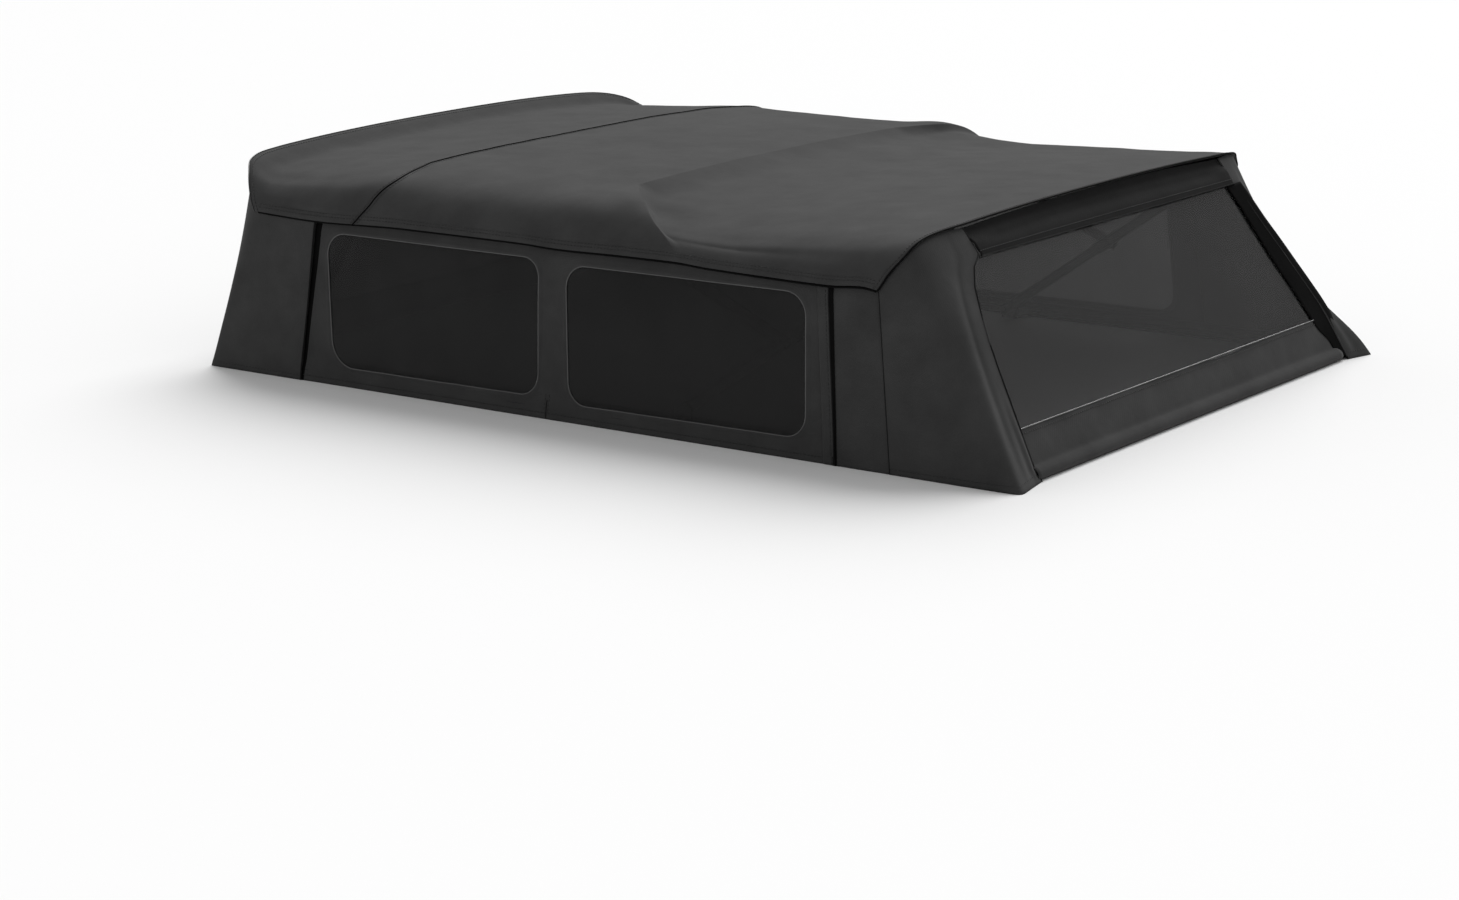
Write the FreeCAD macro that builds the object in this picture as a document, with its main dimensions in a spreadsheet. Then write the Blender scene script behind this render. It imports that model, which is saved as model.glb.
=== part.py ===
import FreeCAD
import Part
import Sketcher
import math
import os

# Folding fabric canopy for a short load bed: tubular bows on two side rails,
# carrying a fitted cloth skin with tinted windows.
#
# Frame: +X rearwards, -Y the left-hand side, +Z up. Z = 0 is the plane on
# which the side rails rest; the origin is the middle of that footprint.
# All sizes are millimetres and degrees.

SIZES = {
    # footprint and general form
    "foot_length": 2200.0,
    "foot_width": 1680.0,
    "eave_height": 372.0,
    "eave_inset": 40.0,
    "roof_height": 480.0,
    "roof_rise": 15.0,
    "cloth_thick": 3.0,
    "pane_thick": 1.6,
    "cloth_gap": 0.3,
    "roof_overhang": 8.0,
    "roof_stand_off": 4.6,
    # cross-section of the roof, measured from its hem
    "hem_bend": 30.0,
    "shoulder_inset": 8.0,
    "shoulder_rise": 55.0,
    "deck_inset": 100.0,
    "deck_bend": 60.0,
    "crown_bend": 2000.0,
    # side rails
    "rail_flange": 60.0,
    "rail_wall": 5.0,
    "rail_depth": 26.0,
    "rail_gap": 0.4,
    "rail_rear_setback": 100.0,
    "rail_front_setback": 42.0,
    "rail_hole_dia": 9.0,
    "rail_hole_pitch": 600.0,
    "rail_hole_inset": 16.0,
    # rear bar across the tail end
    "rear_bar_depth": 26.0,
    "rear_bar_height": 26.0,
    "rear_bar_inset": 140.0,
    "rear_bar_setback": 30.0,
    # tubes of the four bows
    "tube_dia": 25.0,
    "tube_wall": 2.0,
    "bow_bend": 90.0,
    "bow_cover": 4.0,
    "front_bow_inset": 185.0,
    "main_bow_inset": 150.0,
    "third_bow_inset": 118.0,
    "second_bow_inset": 86.0,
    # stations of the bows along the roof
    "front_bow_setback": 19.0,
    "second_bow_setback": 442.0,
    "third_bow_lead": 78.0,
    "main_bow_lead": 14.0,
    # hinge points on the rails
    "hinge_height": 32.0,
    "front_hinge_setback": 100.0,
    "second_hinge_setback": 200.0,
    "main_hinge_setback": 923.0,
    "knuckle_reach": 330.0,
    "pin_dia": 10.0,
    "pin_gap": 0.3,
    "foot_tail": 15.0,
    "sleeve_wall": 3.0,
    "sleeve_length": 40.0,
    "lug_thick": 5.0,
    "lug_gap": 1.0,
    "lug_width": 44.0,
    "lug_bend": 16.0,
    "lug_chin": 6.0,
    "bracket_bend": 12.0,
    "bracket_setback": 10.0,
    "bracket_drop": 4.0,
    "pin_spare": 3.0,
    # skin stations
    "rear_plane_setback": 29.2,
    "header_inset": 185.0,
    "header_drop": 69.0,
    "header_hem": 6.0,
    "header_cut": 30.0,
    "corner_stand_off": 2.0,
    "corner_step_low": 42.0,
    "corner_step_high": 96.0,
    "corner_top_spare": 3.0,
    "corner_lead_low": 60.0,
    "corner_lead_high": 24.0,
    "corner_inset_low": 6.0,
    "corner_inset_high": 90.0,
    "front_corner_bend": 25.0,
    "front_edge_bend": 6.0,
    "front_step_low": 14.0,
    "front_step_high": 18.0,
    "front_lead_low": 8.0,
    "front_lead_high": 40.0,
    "front_inset_low": 11.0,
    "front_inset_high": 92.0,
    "front_head_bend": 30.0,
    "rear_slope": 0.56,
    "deck_trim": 68.0,
    "front_trim": 122.0,
    "trim_spare": 5.0,
    "front_head_inset": 150.0,
    "front_foot_inset": 124.0,
    "seam_rake": 56.0,
    "corner_bend": 60.0,
    "shoulder_bend": 26.0,
    "front_flap_setback": 302.0,
    "rear_flap_setback": 466.0,
    "rear_seam_setback": 308.0,
    "curtain_gap": 6.0,
    "window_low": 48.0,
    "window_high": 346.0,
    "window_bend": 45.0,
    "window_front_margin": 45.0,
    "window_front_lead": 137.0,
    "window_rear_lead": 54.0,
    "window_rear_margin": 66.0,
    "rear_window_low": 98.0,
    "rear_window_margin": 10.0,
    "rear_top_inset": 250.0,
    "rear_foot_inset": 128.0,
    "front_window_inset": 360.0,
    "front_window_low": 90.0,
    "front_window_high": 340.0,
}

# Stations worked out from the sizes: along X, half widths across Y
PLACES = {
    "eave_width": "foot_width - 2 * eave_inset",
    "front_bow_x": "-(foot_length / 2 - front_bow_setback)",
    "second_bow_x": "-(foot_length / 2 - second_bow_setback)",
    "third_bow_x": "-third_bow_lead",
    "header_x": "foot_length / 2 - rear_plane_setback - roof_height * rear_slope",
    "main_bow_x": "header_x - main_bow_lead",
    "front_hinge_x": "-(foot_length / 2 - front_hinge_setback)",
    "second_hinge_x": "-(foot_length / 2 - second_hinge_setback)",
    "main_hinge_x": "foot_length / 2 - main_hinge_setback",
    "rear_foot_x": "foot_length / 2 - rear_bar_setback",
    "front_flap_x": "-(foot_length / 2 - front_flap_setback)",
    "rear_flap_x": "foot_length / 2 - rear_flap_setback",
    "rear_seam_x": "foot_length / 2 - rear_seam_setback",
    "window_front_start": "front_flap_x + window_front_margin",
    "window_front_end": "-window_front_lead",
    "window_rear_start": "-window_rear_lead",
    "window_rear_end": "rear_flap_x - window_rear_margin",
    "rear_bar_half": "foot_width / 2 - rear_bar_inset",
    "front_bow_half": "foot_width / 2 - front_bow_inset",
    "main_bow_half": "foot_width / 2 - main_bow_inset",
    "third_bow_half": "foot_width / 2 - third_bow_inset",
    "second_bow_half": "foot_width / 2 - second_bow_inset",
    "header_half": "foot_width / 2 - header_inset",
    "front_head_half": "foot_width / 2 - front_head_inset",
    "front_foot_half": "foot_width / 2 - front_foot_inset",
    "rear_top_half": "foot_width / 2 - rear_top_inset",
    "rear_foot_half": "foot_width / 2 - rear_foot_inset",
    "front_window_half": "foot_width / 2 - front_window_inset",
}

doc = FreeCAD.newDocument("bed_canopy")
sheet = doc.addObject("Spreadsheet::Sheet", "D")
for row, (alias, size) in enumerate(SIZES.items(), start=1):
    sheet.set("A%d" % row, alias)
    sheet.set("B%d" % row, repr(size))
    sheet.setAlias("B%d" % row, alias)
doc.recompute()
for row, (alias, rule) in enumerate(PLACES.items(), start=len(SIZES) + 1):
    sheet.set("A%d" % row, alias)
    sheet.set("B%d" % row, "=" + rule)
    sheet.setAlias("B%d" % row, alias)
    doc.recompute()

NODES = []
SIDES = (("left", -1), ("right", 1))


def value(rule):
    """Number that a rule on the sheet's names comes to."""
    result = sheet.evalExpression(rule)
    return float(getattr(result, "Value", result))


def new_body(name):
    """Empty body whose label names its node."""
    body = doc.addObject("PartDesign::Body", name)
    body.Label = name
    NODES.append(body)
    return body


def plane_of(body, role):
    """Origin plane of a body by its role."""
    for feature in body.Origin.OriginFeatures:
        if feature.Role == role:
            return feature
    raise ValueError(role)


def new_sketch(body, role, name, height=None):
    """Sketch on an origin plane, raised by a rule along the plane's normal."""
    sketch = body.newObject("Sketcher::SketchObject", name)
    sketch.AttachmentSupport = (plane_of(body, role), [""])
    sketch.MapMode = "FlatFace"
    if height is not None:
        sketch.AttachmentOffset = FreeCAD.Placement(
            FreeCAD.Vector(0, 0, value(height)), FreeCAD.Rotation())
        sketch.setExpression("AttachmentOffset.Base.z", height)
    return sketch


def bind(sketch, kind, *args):
    """Add one driving dimension and tie it to its rule."""
    rule = args[-1]
    index = sketch.addConstraint(make(kind, *args[:-1], value(rule)))
    name = "d%d" % index
    sketch.renameConstraint(index, name)
    sketch.setExpression("Constraints." + name, rule)


def make(kind, *args):
    """One sketch constraint."""
    return Sketcher.Constraint(kind, *args)


def fix_point(sketch, geo, pos, rule_x, rule_y):
    """Hold a point at a place given by two rules."""
    bind(sketch, "DistanceX", -1, 1, geo, pos, rule_x)
    bind(sketch, "DistanceY", -1, 1, geo, pos, rule_y)


def outline(sketch, corners, closed=True):
    """Draw a line through corners (rule_x, rule_y, bend rule or None)."""
    points = [FreeCAD.Vector(value(c[0]), value(c[1]), 0) for c in corners]
    bends = [value(c[2]) if c[2] else 0.0 for c in corners]
    count = len(corners)
    enter, leave, arcs = list(points), list(points), [None] * count
    for i in range(count):
        if not bends[i]:
            continue
        before = (points[i - 1] - points[i]).normalize()
        after = (points[(i + 1) % count] - points[i]).normalize()
        half = before.getAngle(after) / 2
        reach = bends[i] / math.tan(half)
        enter[i] = points[i] + before * reach
        leave[i] = points[i] + after * reach
        centre = points[i] + (before + after).normalize() * (bends[i] / math.sin(half))
        turn = (points[i] - points[i - 1]).cross(points[(i + 1) % count] - points[i]).z
        first, last = (enter[i], leave[i]) if turn > 0 else (leave[i], enter[i])
        circle = Part.Circle(centre, FreeCAD.Vector(0, 0, 1), bends[i])
        angle_a = math.atan2(first.y - centre.y, first.x - centre.x)
        angle_b = math.atan2(last.y - centre.y, last.x - centre.x)
        arcs[i] = (Part.ArcOfCircle(circle, angle_a, angle_b), turn > 0)
    spans = count if closed else count - 1
    lines = []
    for i in range(spans):
        segment = Part.LineSegment(leave[i], enter[(i + 1) % count])
        lines.append(sketch.addGeometry(segment, False))
    for i in range(count):
        line_in = lines[i - 1] if (closed or i > 0) else None
        line_out = lines[i] if i < spans else None
        if arcs[i] is None:
            if line_in is not None and line_out is not None:
                sketch.addConstraint(make("Coincident", line_in, 2, line_out, 1))
            if line_out is not None:
                fix_point(sketch, line_out, 1, corners[i][0], corners[i][1])
            else:
                fix_point(sketch, line_in, 2, corners[i][0], corners[i][1])
            continue
        arc = sketch.addGeometry(arcs[i][0], False)
        begin, end = (1, 2) if arcs[i][1] else (2, 1)
        corner = sketch.addGeometry(Part.Point(points[i]), True)
        sketch.addConstraint(make("Tangent", line_in, 2, arc, begin))
        sketch.addConstraint(make("Tangent", arc, end, line_out, 1))
        sketch.addConstraint(make("PointOnObject", corner, 1, line_in))
        sketch.addConstraint(make("PointOnObject", corner, 1, line_out))
        bind(sketch, "Radius", arc, corners[i][2])
        fix_point(sketch, corner, 1, corners[i][0], corners[i][1])


def circle(sketch, rule_x, rule_y, rule_r):
    """Draw a circle held by its centre and radius."""
    centre = FreeCAD.Vector(value(rule_x), value(rule_y), 0)
    geo = sketch.addGeometry(Part.Circle(centre, FreeCAD.Vector(0, 0, 1), value(rule_r)), False)
    bind(sketch, "Radius", geo, rule_r)
    fix_point(sketch, geo, 3, rule_x, rule_y)


def pad(body, sketch, length, reverse=False, middle=False):
    """Pad a sketch by a rule."""
    feature = body.newObject("PartDesign::Pad", body.Name + "_pad")
    feature.Profile = sketch
    feature.Length = value(length)
    feature.setExpression("Length", length)
    feature.Reversed = reverse
    feature.Midplane = middle
    return feature


def pocket_through(body, sketch):
    """Cut a sketch right through, both ways."""
    feature = body.newObject("PartDesign::Pocket", body.Name + "_cut")
    feature.Profile = sketch
    feature.Type = 1
    feature.Midplane = True
    return feature


def place(body, rule_x="0", rule_y="0", rule_z="0", axis=(0, 0, 1), turn=None):
    """Set a body's place, and its turn about an axis, from rules."""
    angle = value(turn) if turn else 0.0
    body.Placement = FreeCAD.Placement(
        FreeCAD.Vector(value(rule_x), value(rule_y), value(rule_z)),
        FreeCAD.Rotation(FreeCAD.Vector(*axis), angle))
    body.setExpression("Placement.Base.x", rule_x)
    body.setExpression("Placement.Base.y", rule_y)
    body.setExpression("Placement.Base.z", rule_z)
    if turn:
        body.setExpression("Placement.Rotation.Angle", turn)


# Rules used by several pieces
HALF_X = "D.foot_length / 2"
HALF_Y = "D.foot_width / 2"
EAVE_Y = "D.eave_width / 2"
LEAN = "atan((D.foot_width - D.eave_width) / 2 / D.eave_height)"
SLANT = "D.eave_height / cos(%s)" % LEAN
RAIL_OUT = ("(D.foot_width / 2 - D.cloth_thick - D.rail_gap - D.rail_depth"
            " * (D.foot_width - D.eave_width) / 2 / D.eave_height)")
BAR_COVER = "(D.cloth_thick + D.bow_cover + D.tube_dia / 2)"


def rear_x(height):
    """Rule for the outer face of the sloping rear at a height."""
    return "(D.header_x + (D.roof_height - (%s)) * D.rear_slope)" % height


HEADER_LOW = "(D.roof_height - D.header_drop)"


def rear_half(height):
    """Rule for the half width of the rear curtain at a height."""
    return ("(D.rear_foot_half - (D.rear_foot_half - D.rear_top_half) * (%s) / %s)"
            % (height, HEADER_LOW))


# Side rails: an angle section, flange down, with bolt holes through the flange
for side, sign in SIDES:
    rail = new_body("side_rail_" + side)
    section = new_sketch(rail, "YZ_Plane", "rail_section_" + side)
    out = "%d * %s" % (sign, RAIL_OUT)
    inner = "%d * (%s - D.rail_flange)" % (sign, RAIL_OUT)
    web = "%d * (%s - D.rail_wall)" % (sign, RAIL_OUT)
    outline(section, [
        (inner, "0", None), (out, "0", None), (out, "D.rail_depth", None),
        (web, "D.rail_depth", None), (web, "D.rail_wall", None),
        (inner, "D.rail_wall", None)])
    pad(rail, section,
        "D.foot_length - D.rail_rear_setback - D.rail_front_setback")
    holes = new_sketch(rail, "XY_Plane", "rail_holes_" + side)
    for k in range(4):
        circle(holes, "%s - D.rail_front_setback + (%.1f) * D.rail_hole_pitch" % (HALF_X, k - 1.5),
               "%d * (%s - D.rail_flange + D.rail_hole_inset)" % (sign, RAIL_OUT),
               "D.rail_hole_dia / 2")
    pocket_through(rail, holes)
    place(rail, "-(%s - D.rail_front_setback)" % HALF_X)

# Rear bar: flat-bottomed bar that the rear cloth rolls round
bar = new_body("rear_bar")
section = new_sketch(bar, "XZ_Plane", "bar_section")
outline(section, [
    ("D.rear_foot_x - D.rear_bar_depth", "0", None),
    ("D.rear_foot_x", "0", None),
    ("D.rear_foot_x", "D.rear_bar_height", "D.rear_bar_height / 3"),
    ("D.rear_foot_x - D.rear_bar_depth", "D.rear_bar_height", "D.rear_bar_height / 3")])
pad(bar, section, "2 * D.rear_bar_half", middle=True)

# Corner brackets between the rear bar and the rails
for side, sign in SIDES:
    corner = new_body("rear_bracket_" + side)
    shape = new_sketch(corner, "XY_Plane", "bracket_shape_" + side)
    near = "%d * (D.rear_bar_half + D.cloth_gap)" % sign
    far = "%d * (%s - D.rail_flange / 2)" % (sign, RAIL_OUT)
    outline(shape, [
        ("%s - D.rail_rear_setback + D.cloth_gap" % HALF_X, near, None),
        ("D.rear_foot_x - D.bracket_setback", near, None),
        ("D.rear_foot_x - D.bracket_setback", far, "D.bracket_bend"),
        ("%s - D.rail_rear_setback + D.cloth_gap" % HALF_X, far, None)])
    pad(corner, shape, "D.rear_bar_height - D.bracket_drop")

# Hinge brackets: a foot on the rail flange and an upright lug beside each leg
HINGES = (
    ("main_bracket", (("D.main_hinge_x", "D.main_bow_half"),)),
    ("front_bracket", (("D.front_hinge_x", "D.front_bow_half"),
                       ("D.second_hinge_x", "D.second_bow_half"))),
)
lug_top = "D.hinge_height + D.lug_width / 2 - D.lug_chin"
for stem, lugs in HINGES:
    for side, sign in SIDES:
        bracket = new_body(stem + "_" + side)
        low = "D.rail_wall + D.cloth_gap"
        foot = new_sketch(bracket, "XY_Plane", stem + "_foot_" + side, height=low)
        first, last = lugs[0], lugs[-1]
        near = "%d * (%s + D.tube_dia / 2 + D.lug_gap)" % (sign, first[1])
        far = "%d * (%s - D.rail_wall - D.cloth_gap)" % (sign, RAIL_OUT)
        front = "%s - D.lug_width / 2" % first[0]
        rear = "%s + D.lug_width / 2" % last[0]
        outline(foot, [(front, near, None), (rear, near, None), (rear, far, None),
                       (front, far, None)])
        pad(bracket, foot, "D.lug_thick")
        for k, (hinge_x, half) in enumerate(lugs):
            lug = new_sketch(bracket, "XZ_Plane", "%s_lug%d_%s" % (stem, k, side),
                             height="%d * (%s + D.tube_dia / 2 + D.lug_gap)" % (-sign, half))
            outline(lug, [
                ("%s - D.lug_width / 2" % hinge_x, low, None),
                ("%s + D.lug_width / 2" % hinge_x, low, None),
                ("%s + D.lug_width / 2" % hinge_x, lug_top, "D.lug_bend"),
                ("%s - D.lug_width / 2" % hinge_x, lug_top, "D.lug_bend")])
            pad(bracket, lug, "D.lug_thick", reverse=sign > 0)
            pin = new_sketch(bracket, "XZ_Plane", "%s_pin%d_%s" % (stem, k, side),
                             height="%d * (%s + D.tube_dia / 2 + D.lug_gap)" % (-sign, half))
            circle(pin, hinge_x, "D.hinge_height", "D.pin_dia / 2")
            pad(bracket, pin, "D.tube_dia + 2 * D.lug_gap + D.pin_spare", reverse=sign < 0)


def bow_rules(x_rule, z_rule, hinge_x, hinge_z):
    """Rules for a bow's angle above +X and its leg length, hinge to top bar."""
    rise = "(%s - %s)" % (z_rule, hinge_z)
    run = "(%s - %s)" % (x_rule, hinge_x)
    angle = "atan2(%s; %s)" % (rise, run)
    length = "sqrt(%s * %s + %s * %s)" % (rise, rise, run, run)
    return angle, length


def bow(name, half, angle, length, hinge_x, hinge_z):
    """Round-tube hoop, hinged at its two feet."""
    body = new_body(name)
    path = new_sketch(body, "YZ_Plane", name + "_path")
    outline(path, [
        ("-" + half, "-D.foot_tail", None), ("-" + half, length, "D.bow_bend"),
        (half, length, "D.bow_bend"), (half, "-D.foot_tail", None)], closed=False)
    ring = new_sketch(body, "XY_Plane", name + "_ring", height="-D.foot_tail")
    circle(ring, "0", "-" + half, "D.tube_dia / 2")
    circle(ring, "0", "-" + half, "D.tube_dia / 2 - D.tube_wall")
    pipe = body.newObject("PartDesign::AdditivePipe", name + "_pipe")
    pipe.Profile = ring
    pipe.Spine = (path, [""])
    eye = new_sketch(body, "XZ_Plane", name + "_eye")
    circle(eye, "0", "0", "D.pin_dia / 2 + D.pin_gap")
    pocket_through(body, eye)
    place(body, hinge_x, "0", hinge_z, (0, 1, 0), "90 deg - " + angle)
    return body


TOP = "(D.roof_height - %s)" % BAR_COVER
CROWN = "(D.roof_height + D.roof_rise - %s)" % BAR_COVER
MAIN_ANGLE, MAIN_LENGTH = bow_rules("D.main_bow_x", TOP, "D.main_hinge_x", "D.hinge_height")
KNUCKLE_X = "(D.main_hinge_x + D.knuckle_reach * cos(%s))" % MAIN_ANGLE
KNUCKLE_Z = "(D.hinge_height + D.knuckle_reach * sin(%s))" % MAIN_ANGLE
THIRD_ANGLE, THIRD_LENGTH = bow_rules("D.third_bow_x", TOP, KNUCKLE_X, KNUCKLE_Z)
SECOND_ANGLE, SECOND_LENGTH = bow_rules("D.second_bow_x", TOP, "D.second_hinge_x",
                                        "D.hinge_height")
FRONT_ANGLE, FRONT_LENGTH = bow_rules("D.front_bow_x", TOP, "D.front_hinge_x",
                                      "D.hinge_height")
bow("main_bow", "D.main_bow_half", MAIN_ANGLE, MAIN_LENGTH, "D.main_hinge_x", "D.hinge_height")
bow("third_bow", "D.third_bow_half", THIRD_ANGLE, THIRD_LENGTH, KNUCKLE_X, KNUCKLE_Z)
bow("second_bow", "D.second_bow_half", SECOND_ANGLE, SECOND_LENGTH, "D.second_hinge_x",
    "D.hinge_height")
bow("front_bow", "D.front_bow_half", FRONT_ANGLE, FRONT_LENGTH, "D.front_hinge_x",
    "D.hinge_height")

# Knuckles: a sleeve on each main leg with the pin that carries the third bow
for side, sign in SIDES:
    knuckle = new_body("knuckle_" + side)
    sleeve = new_sketch(knuckle, "XY_Plane", "knuckle_sleeve_" + side,
                        height="-D.sleeve_length / 2")
    place_y = "%d * D.main_bow_half" % sign
    circle(sleeve, "0", place_y, "D.tube_dia / 2 + D.cloth_gap / 2 + D.sleeve_wall")
    circle(sleeve, "0", place_y, "D.tube_dia / 2 + D.cloth_gap / 2")
    pad(knuckle, sleeve, "D.sleeve_length")
    pin = new_sketch(knuckle, "XZ_Plane", "knuckle_pin_" + side,
                     height="%d * (D.main_bow_half + D.tube_dia / 2 + D.lug_gap)" % -sign)
    circle(pin, "0", "0", "D.pin_dia / 2")
    pad(knuckle, pin, "D.third_bow_half - D.main_bow_half + 2 * D.lug_gap", reverse=sign > 0)
    place(knuckle, KNUCKLE_X, "0", KNUCKLE_Z, (0, 1, 0), "90 deg - " + MAIN_ANGLE)

# Skin: sides lean inwards from the rail to the eave
def side_sheet(name, sign, corners, thick, outset="0", cuts=()):
    """Flat sheet on the leaning side plane; corners are (x, height along it)."""
    body = new_body(name)
    shape = new_sketch(body, "XZ_Plane", name + "_shape")
    outline(shape, corners)
    pad(body, shape, thick, reverse=sign > 0)
    for k, cut in enumerate(cuts):
        hole = new_sketch(body, "XZ_Plane", "%s_hole%d" % (name, k))
        outline(hole, cut)
        pocket_through(body, hole)
    place(body, "0", "%d * (%s - D.cloth_thick + %s)" % (sign, HALF_Y, outset), "0",
          (1, 0, 0), "%d * %s" % (sign, LEAN))
    return body


def rounded(x_low, x_high, z_low, z_high, bend, inset="0"):
    """Corners of a rounded rectangle, drawn in by an inset."""
    return [
        ("%s + %s" % (x_low, inset), "%s + %s" % (z_low, inset), bend),
        ("%s - %s" % (x_high, inset), "%s + %s" % (z_low, inset), bend),
        ("%s - %s" % (x_high, inset), "%s - %s" % (z_high, inset), bend),
        ("%s + %s" % (x_low, inset), "%s - %s" % (z_high, inset), bend)]


WINDOWS = (("front_side_window_", "D.window_front_start", "D.window_front_end"),
           ("rear_side_window_", "D.window_rear_start", "D.window_rear_end"))
for side, sign in SIDES:
    cuts = [rounded(start, end, "D.window_low", "D.window_high", "D.window_bend")
            for _, start, end in WINDOWS]
    side_sheet("side_curtain_" + side, sign, [
        ("D.front_flap_x + D.curtain_gap / 2", "0", None),
        ("D.rear_flap_x - D.curtain_gap / 2", "0", None),
        ("D.rear_flap_x - D.curtain_gap / 2", SLANT, None),
        ("D.front_flap_x + D.curtain_gap / 2", SLANT, None)], "D.cloth_thick", cuts=cuts)
    for stem, start, end in WINDOWS:
        side_sheet(stem + side, sign, rounded(
            start, end, "D.window_low", "D.window_high", "D.window_bend", "D.cloth_gap"),
            "D.pane_thick")
    side_sheet("rear_quarter_" + side, sign, [
        ("D.rear_flap_x + D.curtain_gap / 2", "0", None),
        ("D.rear_seam_x", "0", None),
        ("D.rear_seam_x - D.seam_rake", SLANT, None),
        ("D.rear_flap_x + D.curtain_gap / 2", SLANT, None)], "D.cloth_thick")


def loft(name, sections, plane):
    """Ruled loft through sections (height rule, corners)."""
    body = new_body(name)
    sketches = []
    for k, (height, corners) in enumerate(sections):
        sketch = new_sketch(body, plane, "%s_section%d" % (name, k), height=height)
        outline(sketch, corners)
        sketches.append(sketch)
    feature = body.newObject("PartDesign::AdditiveLoft", name + "_loft")
    feature.Profile = sketches[0]
    feature.Sections = [(s, [""]) for s in sketches[1:]]
    feature.Ruled = True
    return body


# Rear corners: wrap from the side seam round to the edge of the rear curtain
for side, sign in SIDES:
    sections = []
    places = (
        ("0", "D.rear_seam_x", HALF_Y, HALF_X, "D.rear_foot_half + D.cloth_gap",
         "D.corner_bend"),
        ("D.eave_height", "D.rear_seam_x - D.seam_rake", EAVE_Y,
         rear_x("D.eave_height") + " + D.corner_stand_off", rear_half("D.eave_height") + " + D.cloth_gap",
         "D.corner_bend"),
        ("D.eave_height + D.corner_step_low", "D.header_x - D.corner_lead_low",
         EAVE_Y + " - D.corner_inset_low",
         rear_x("D.eave_height + D.corner_step_low") + " + D.corner_stand_off",
         "D.rear_top_half + D.corner_top_spare", "D.shoulder_bend"),
        ("D.eave_height + D.corner_step_high", "D.header_x - D.corner_lead_high",
         EAVE_Y + " - D.corner_inset_high",
         rear_x("D.eave_height + D.corner_step_high") + " + D.corner_stand_off",
         "D.header_half - D.header_cut + D.cloth_gap", "D.shoulder_bend"),
    )
    for height, start, out_y, out_x, inner_y, bend in places:
        wrap = [
            ("%s + D.cloth_gap" % start, "%d * (%s)" % (sign, out_y), None),
            (out_x, "%d * (%s)" % (sign, out_y), bend),
            (out_x, "%d * (%s)" % (sign, inner_y), None),
            ("%s - D.cloth_thick" % out_x, "%d * (%s)" % (sign, inner_y), None),
            ("%s - D.cloth_thick" % out_x, "%d * (%s - D.cloth_thick)" % (sign, out_y),
             bend + " - D.cloth_thick"),
            ("%s + D.cloth_gap" % start, "%d * (%s - D.cloth_thick)" % (sign, out_y), None)]
        sections.append((height, wrap))
    loft("rear_corner_" + side, sections, "XY_Plane")

# Front corners: from the front flap round to the edge of the front panel
for side, sign in SIDES:
    sections = []
    flap = "D.front_flap_x - D.curtain_gap / 2"
    places = (
        ("0", flap, HALF_Y, HALF_X, "D.front_foot_half",
         "D.front_corner_bend"),
        ("D.eave_height", flap, EAVE_Y, "(%s - D.front_trim)" % HALF_X,
         "D.front_head_half", "D.front_corner_bend"),
        ("D.eave_height + D.corner_step_low", "-(%s - D.front_trim - D.front_lead_low)" % HALF_X,
         EAVE_Y + " - D.front_inset_low",
         "(%s - D.front_trim + D.front_step_low)" % HALF_X, "D.front_head_half",
         "D.front_edge_bend"),
        ("D.eave_height + D.corner_step_high", "-(%s - D.front_lead_high)" % HALF_X,
         EAVE_Y + " - D.front_inset_high",
         "(%s - D.front_step_high)" % HALF_X, "D.front_head_half", "D.front_edge_bend"),
    )
    for height, start, out_y, out_x, inner_y, bend in places:
        sections.append((height, [
            (start, "%d * (%s)" % (sign, out_y), None),
            ("-(%s)" % out_x, "%d * (%s)" % (sign, out_y), bend),
            ("-(%s)" % HALF_X, "%d * (%s)" % (sign, inner_y), None),
            ("-(%s - D.cloth_thick)" % HALF_X, "%d * (%s)" % (sign, inner_y), None),
            ("-(%s - D.cloth_thick)" % out_x, "%d * (%s - D.cloth_thick)" % (sign, out_y),
             bend + " - D.cloth_thick"),
            (start, "%d * (%s - D.cloth_thick)" % (sign, out_y), None)]))
    loft("front_corner_" + side, sections, "XY_Plane")

# Front panel with its window
FRONT_IN = "(%s - D.cloth_thick)" % HALF_X
panel = new_body("front_panel")
shape = new_sketch(panel, "YZ_Plane", "front_shape", height="-(%s)" % HALF_X)
foot_in = "(D.front_foot_half - D.cloth_gap)"
head_in = "(D.front_head_half - D.cloth_gap)"
head_z = "(D.roof_height - D.cloth_thick - D.cloth_gap)"
outline(shape, [
    ("-" + foot_in, "0", None), (foot_in, "0", None), (head_in, "D.eave_height", None),
    (head_in, head_z, "D.front_head_bend"), ("-" + head_in, head_z, "D.front_head_bend"),
    ("-" + head_in, "D.eave_height", None)])
pad(panel, shape, "D.cloth_thick")
cut = new_sketch(panel, "YZ_Plane", "front_cut")
outline(cut, rounded("-D.front_window_half", "D.front_window_half", "D.front_window_low",
                     "D.front_window_high", "D.window_bend"))
pocket_through(panel, cut)
pane = new_body("front_window")
shape = new_sketch(pane, "YZ_Plane", "front_pane", height="-(%s)" % HALF_X)
outline(shape, rounded("-D.front_window_half", "D.front_window_half", "D.front_window_low",
                       "D.front_window_high", "D.window_bend", "D.cloth_gap"))
pad(pane, shape, "D.pane_thick")


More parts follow.
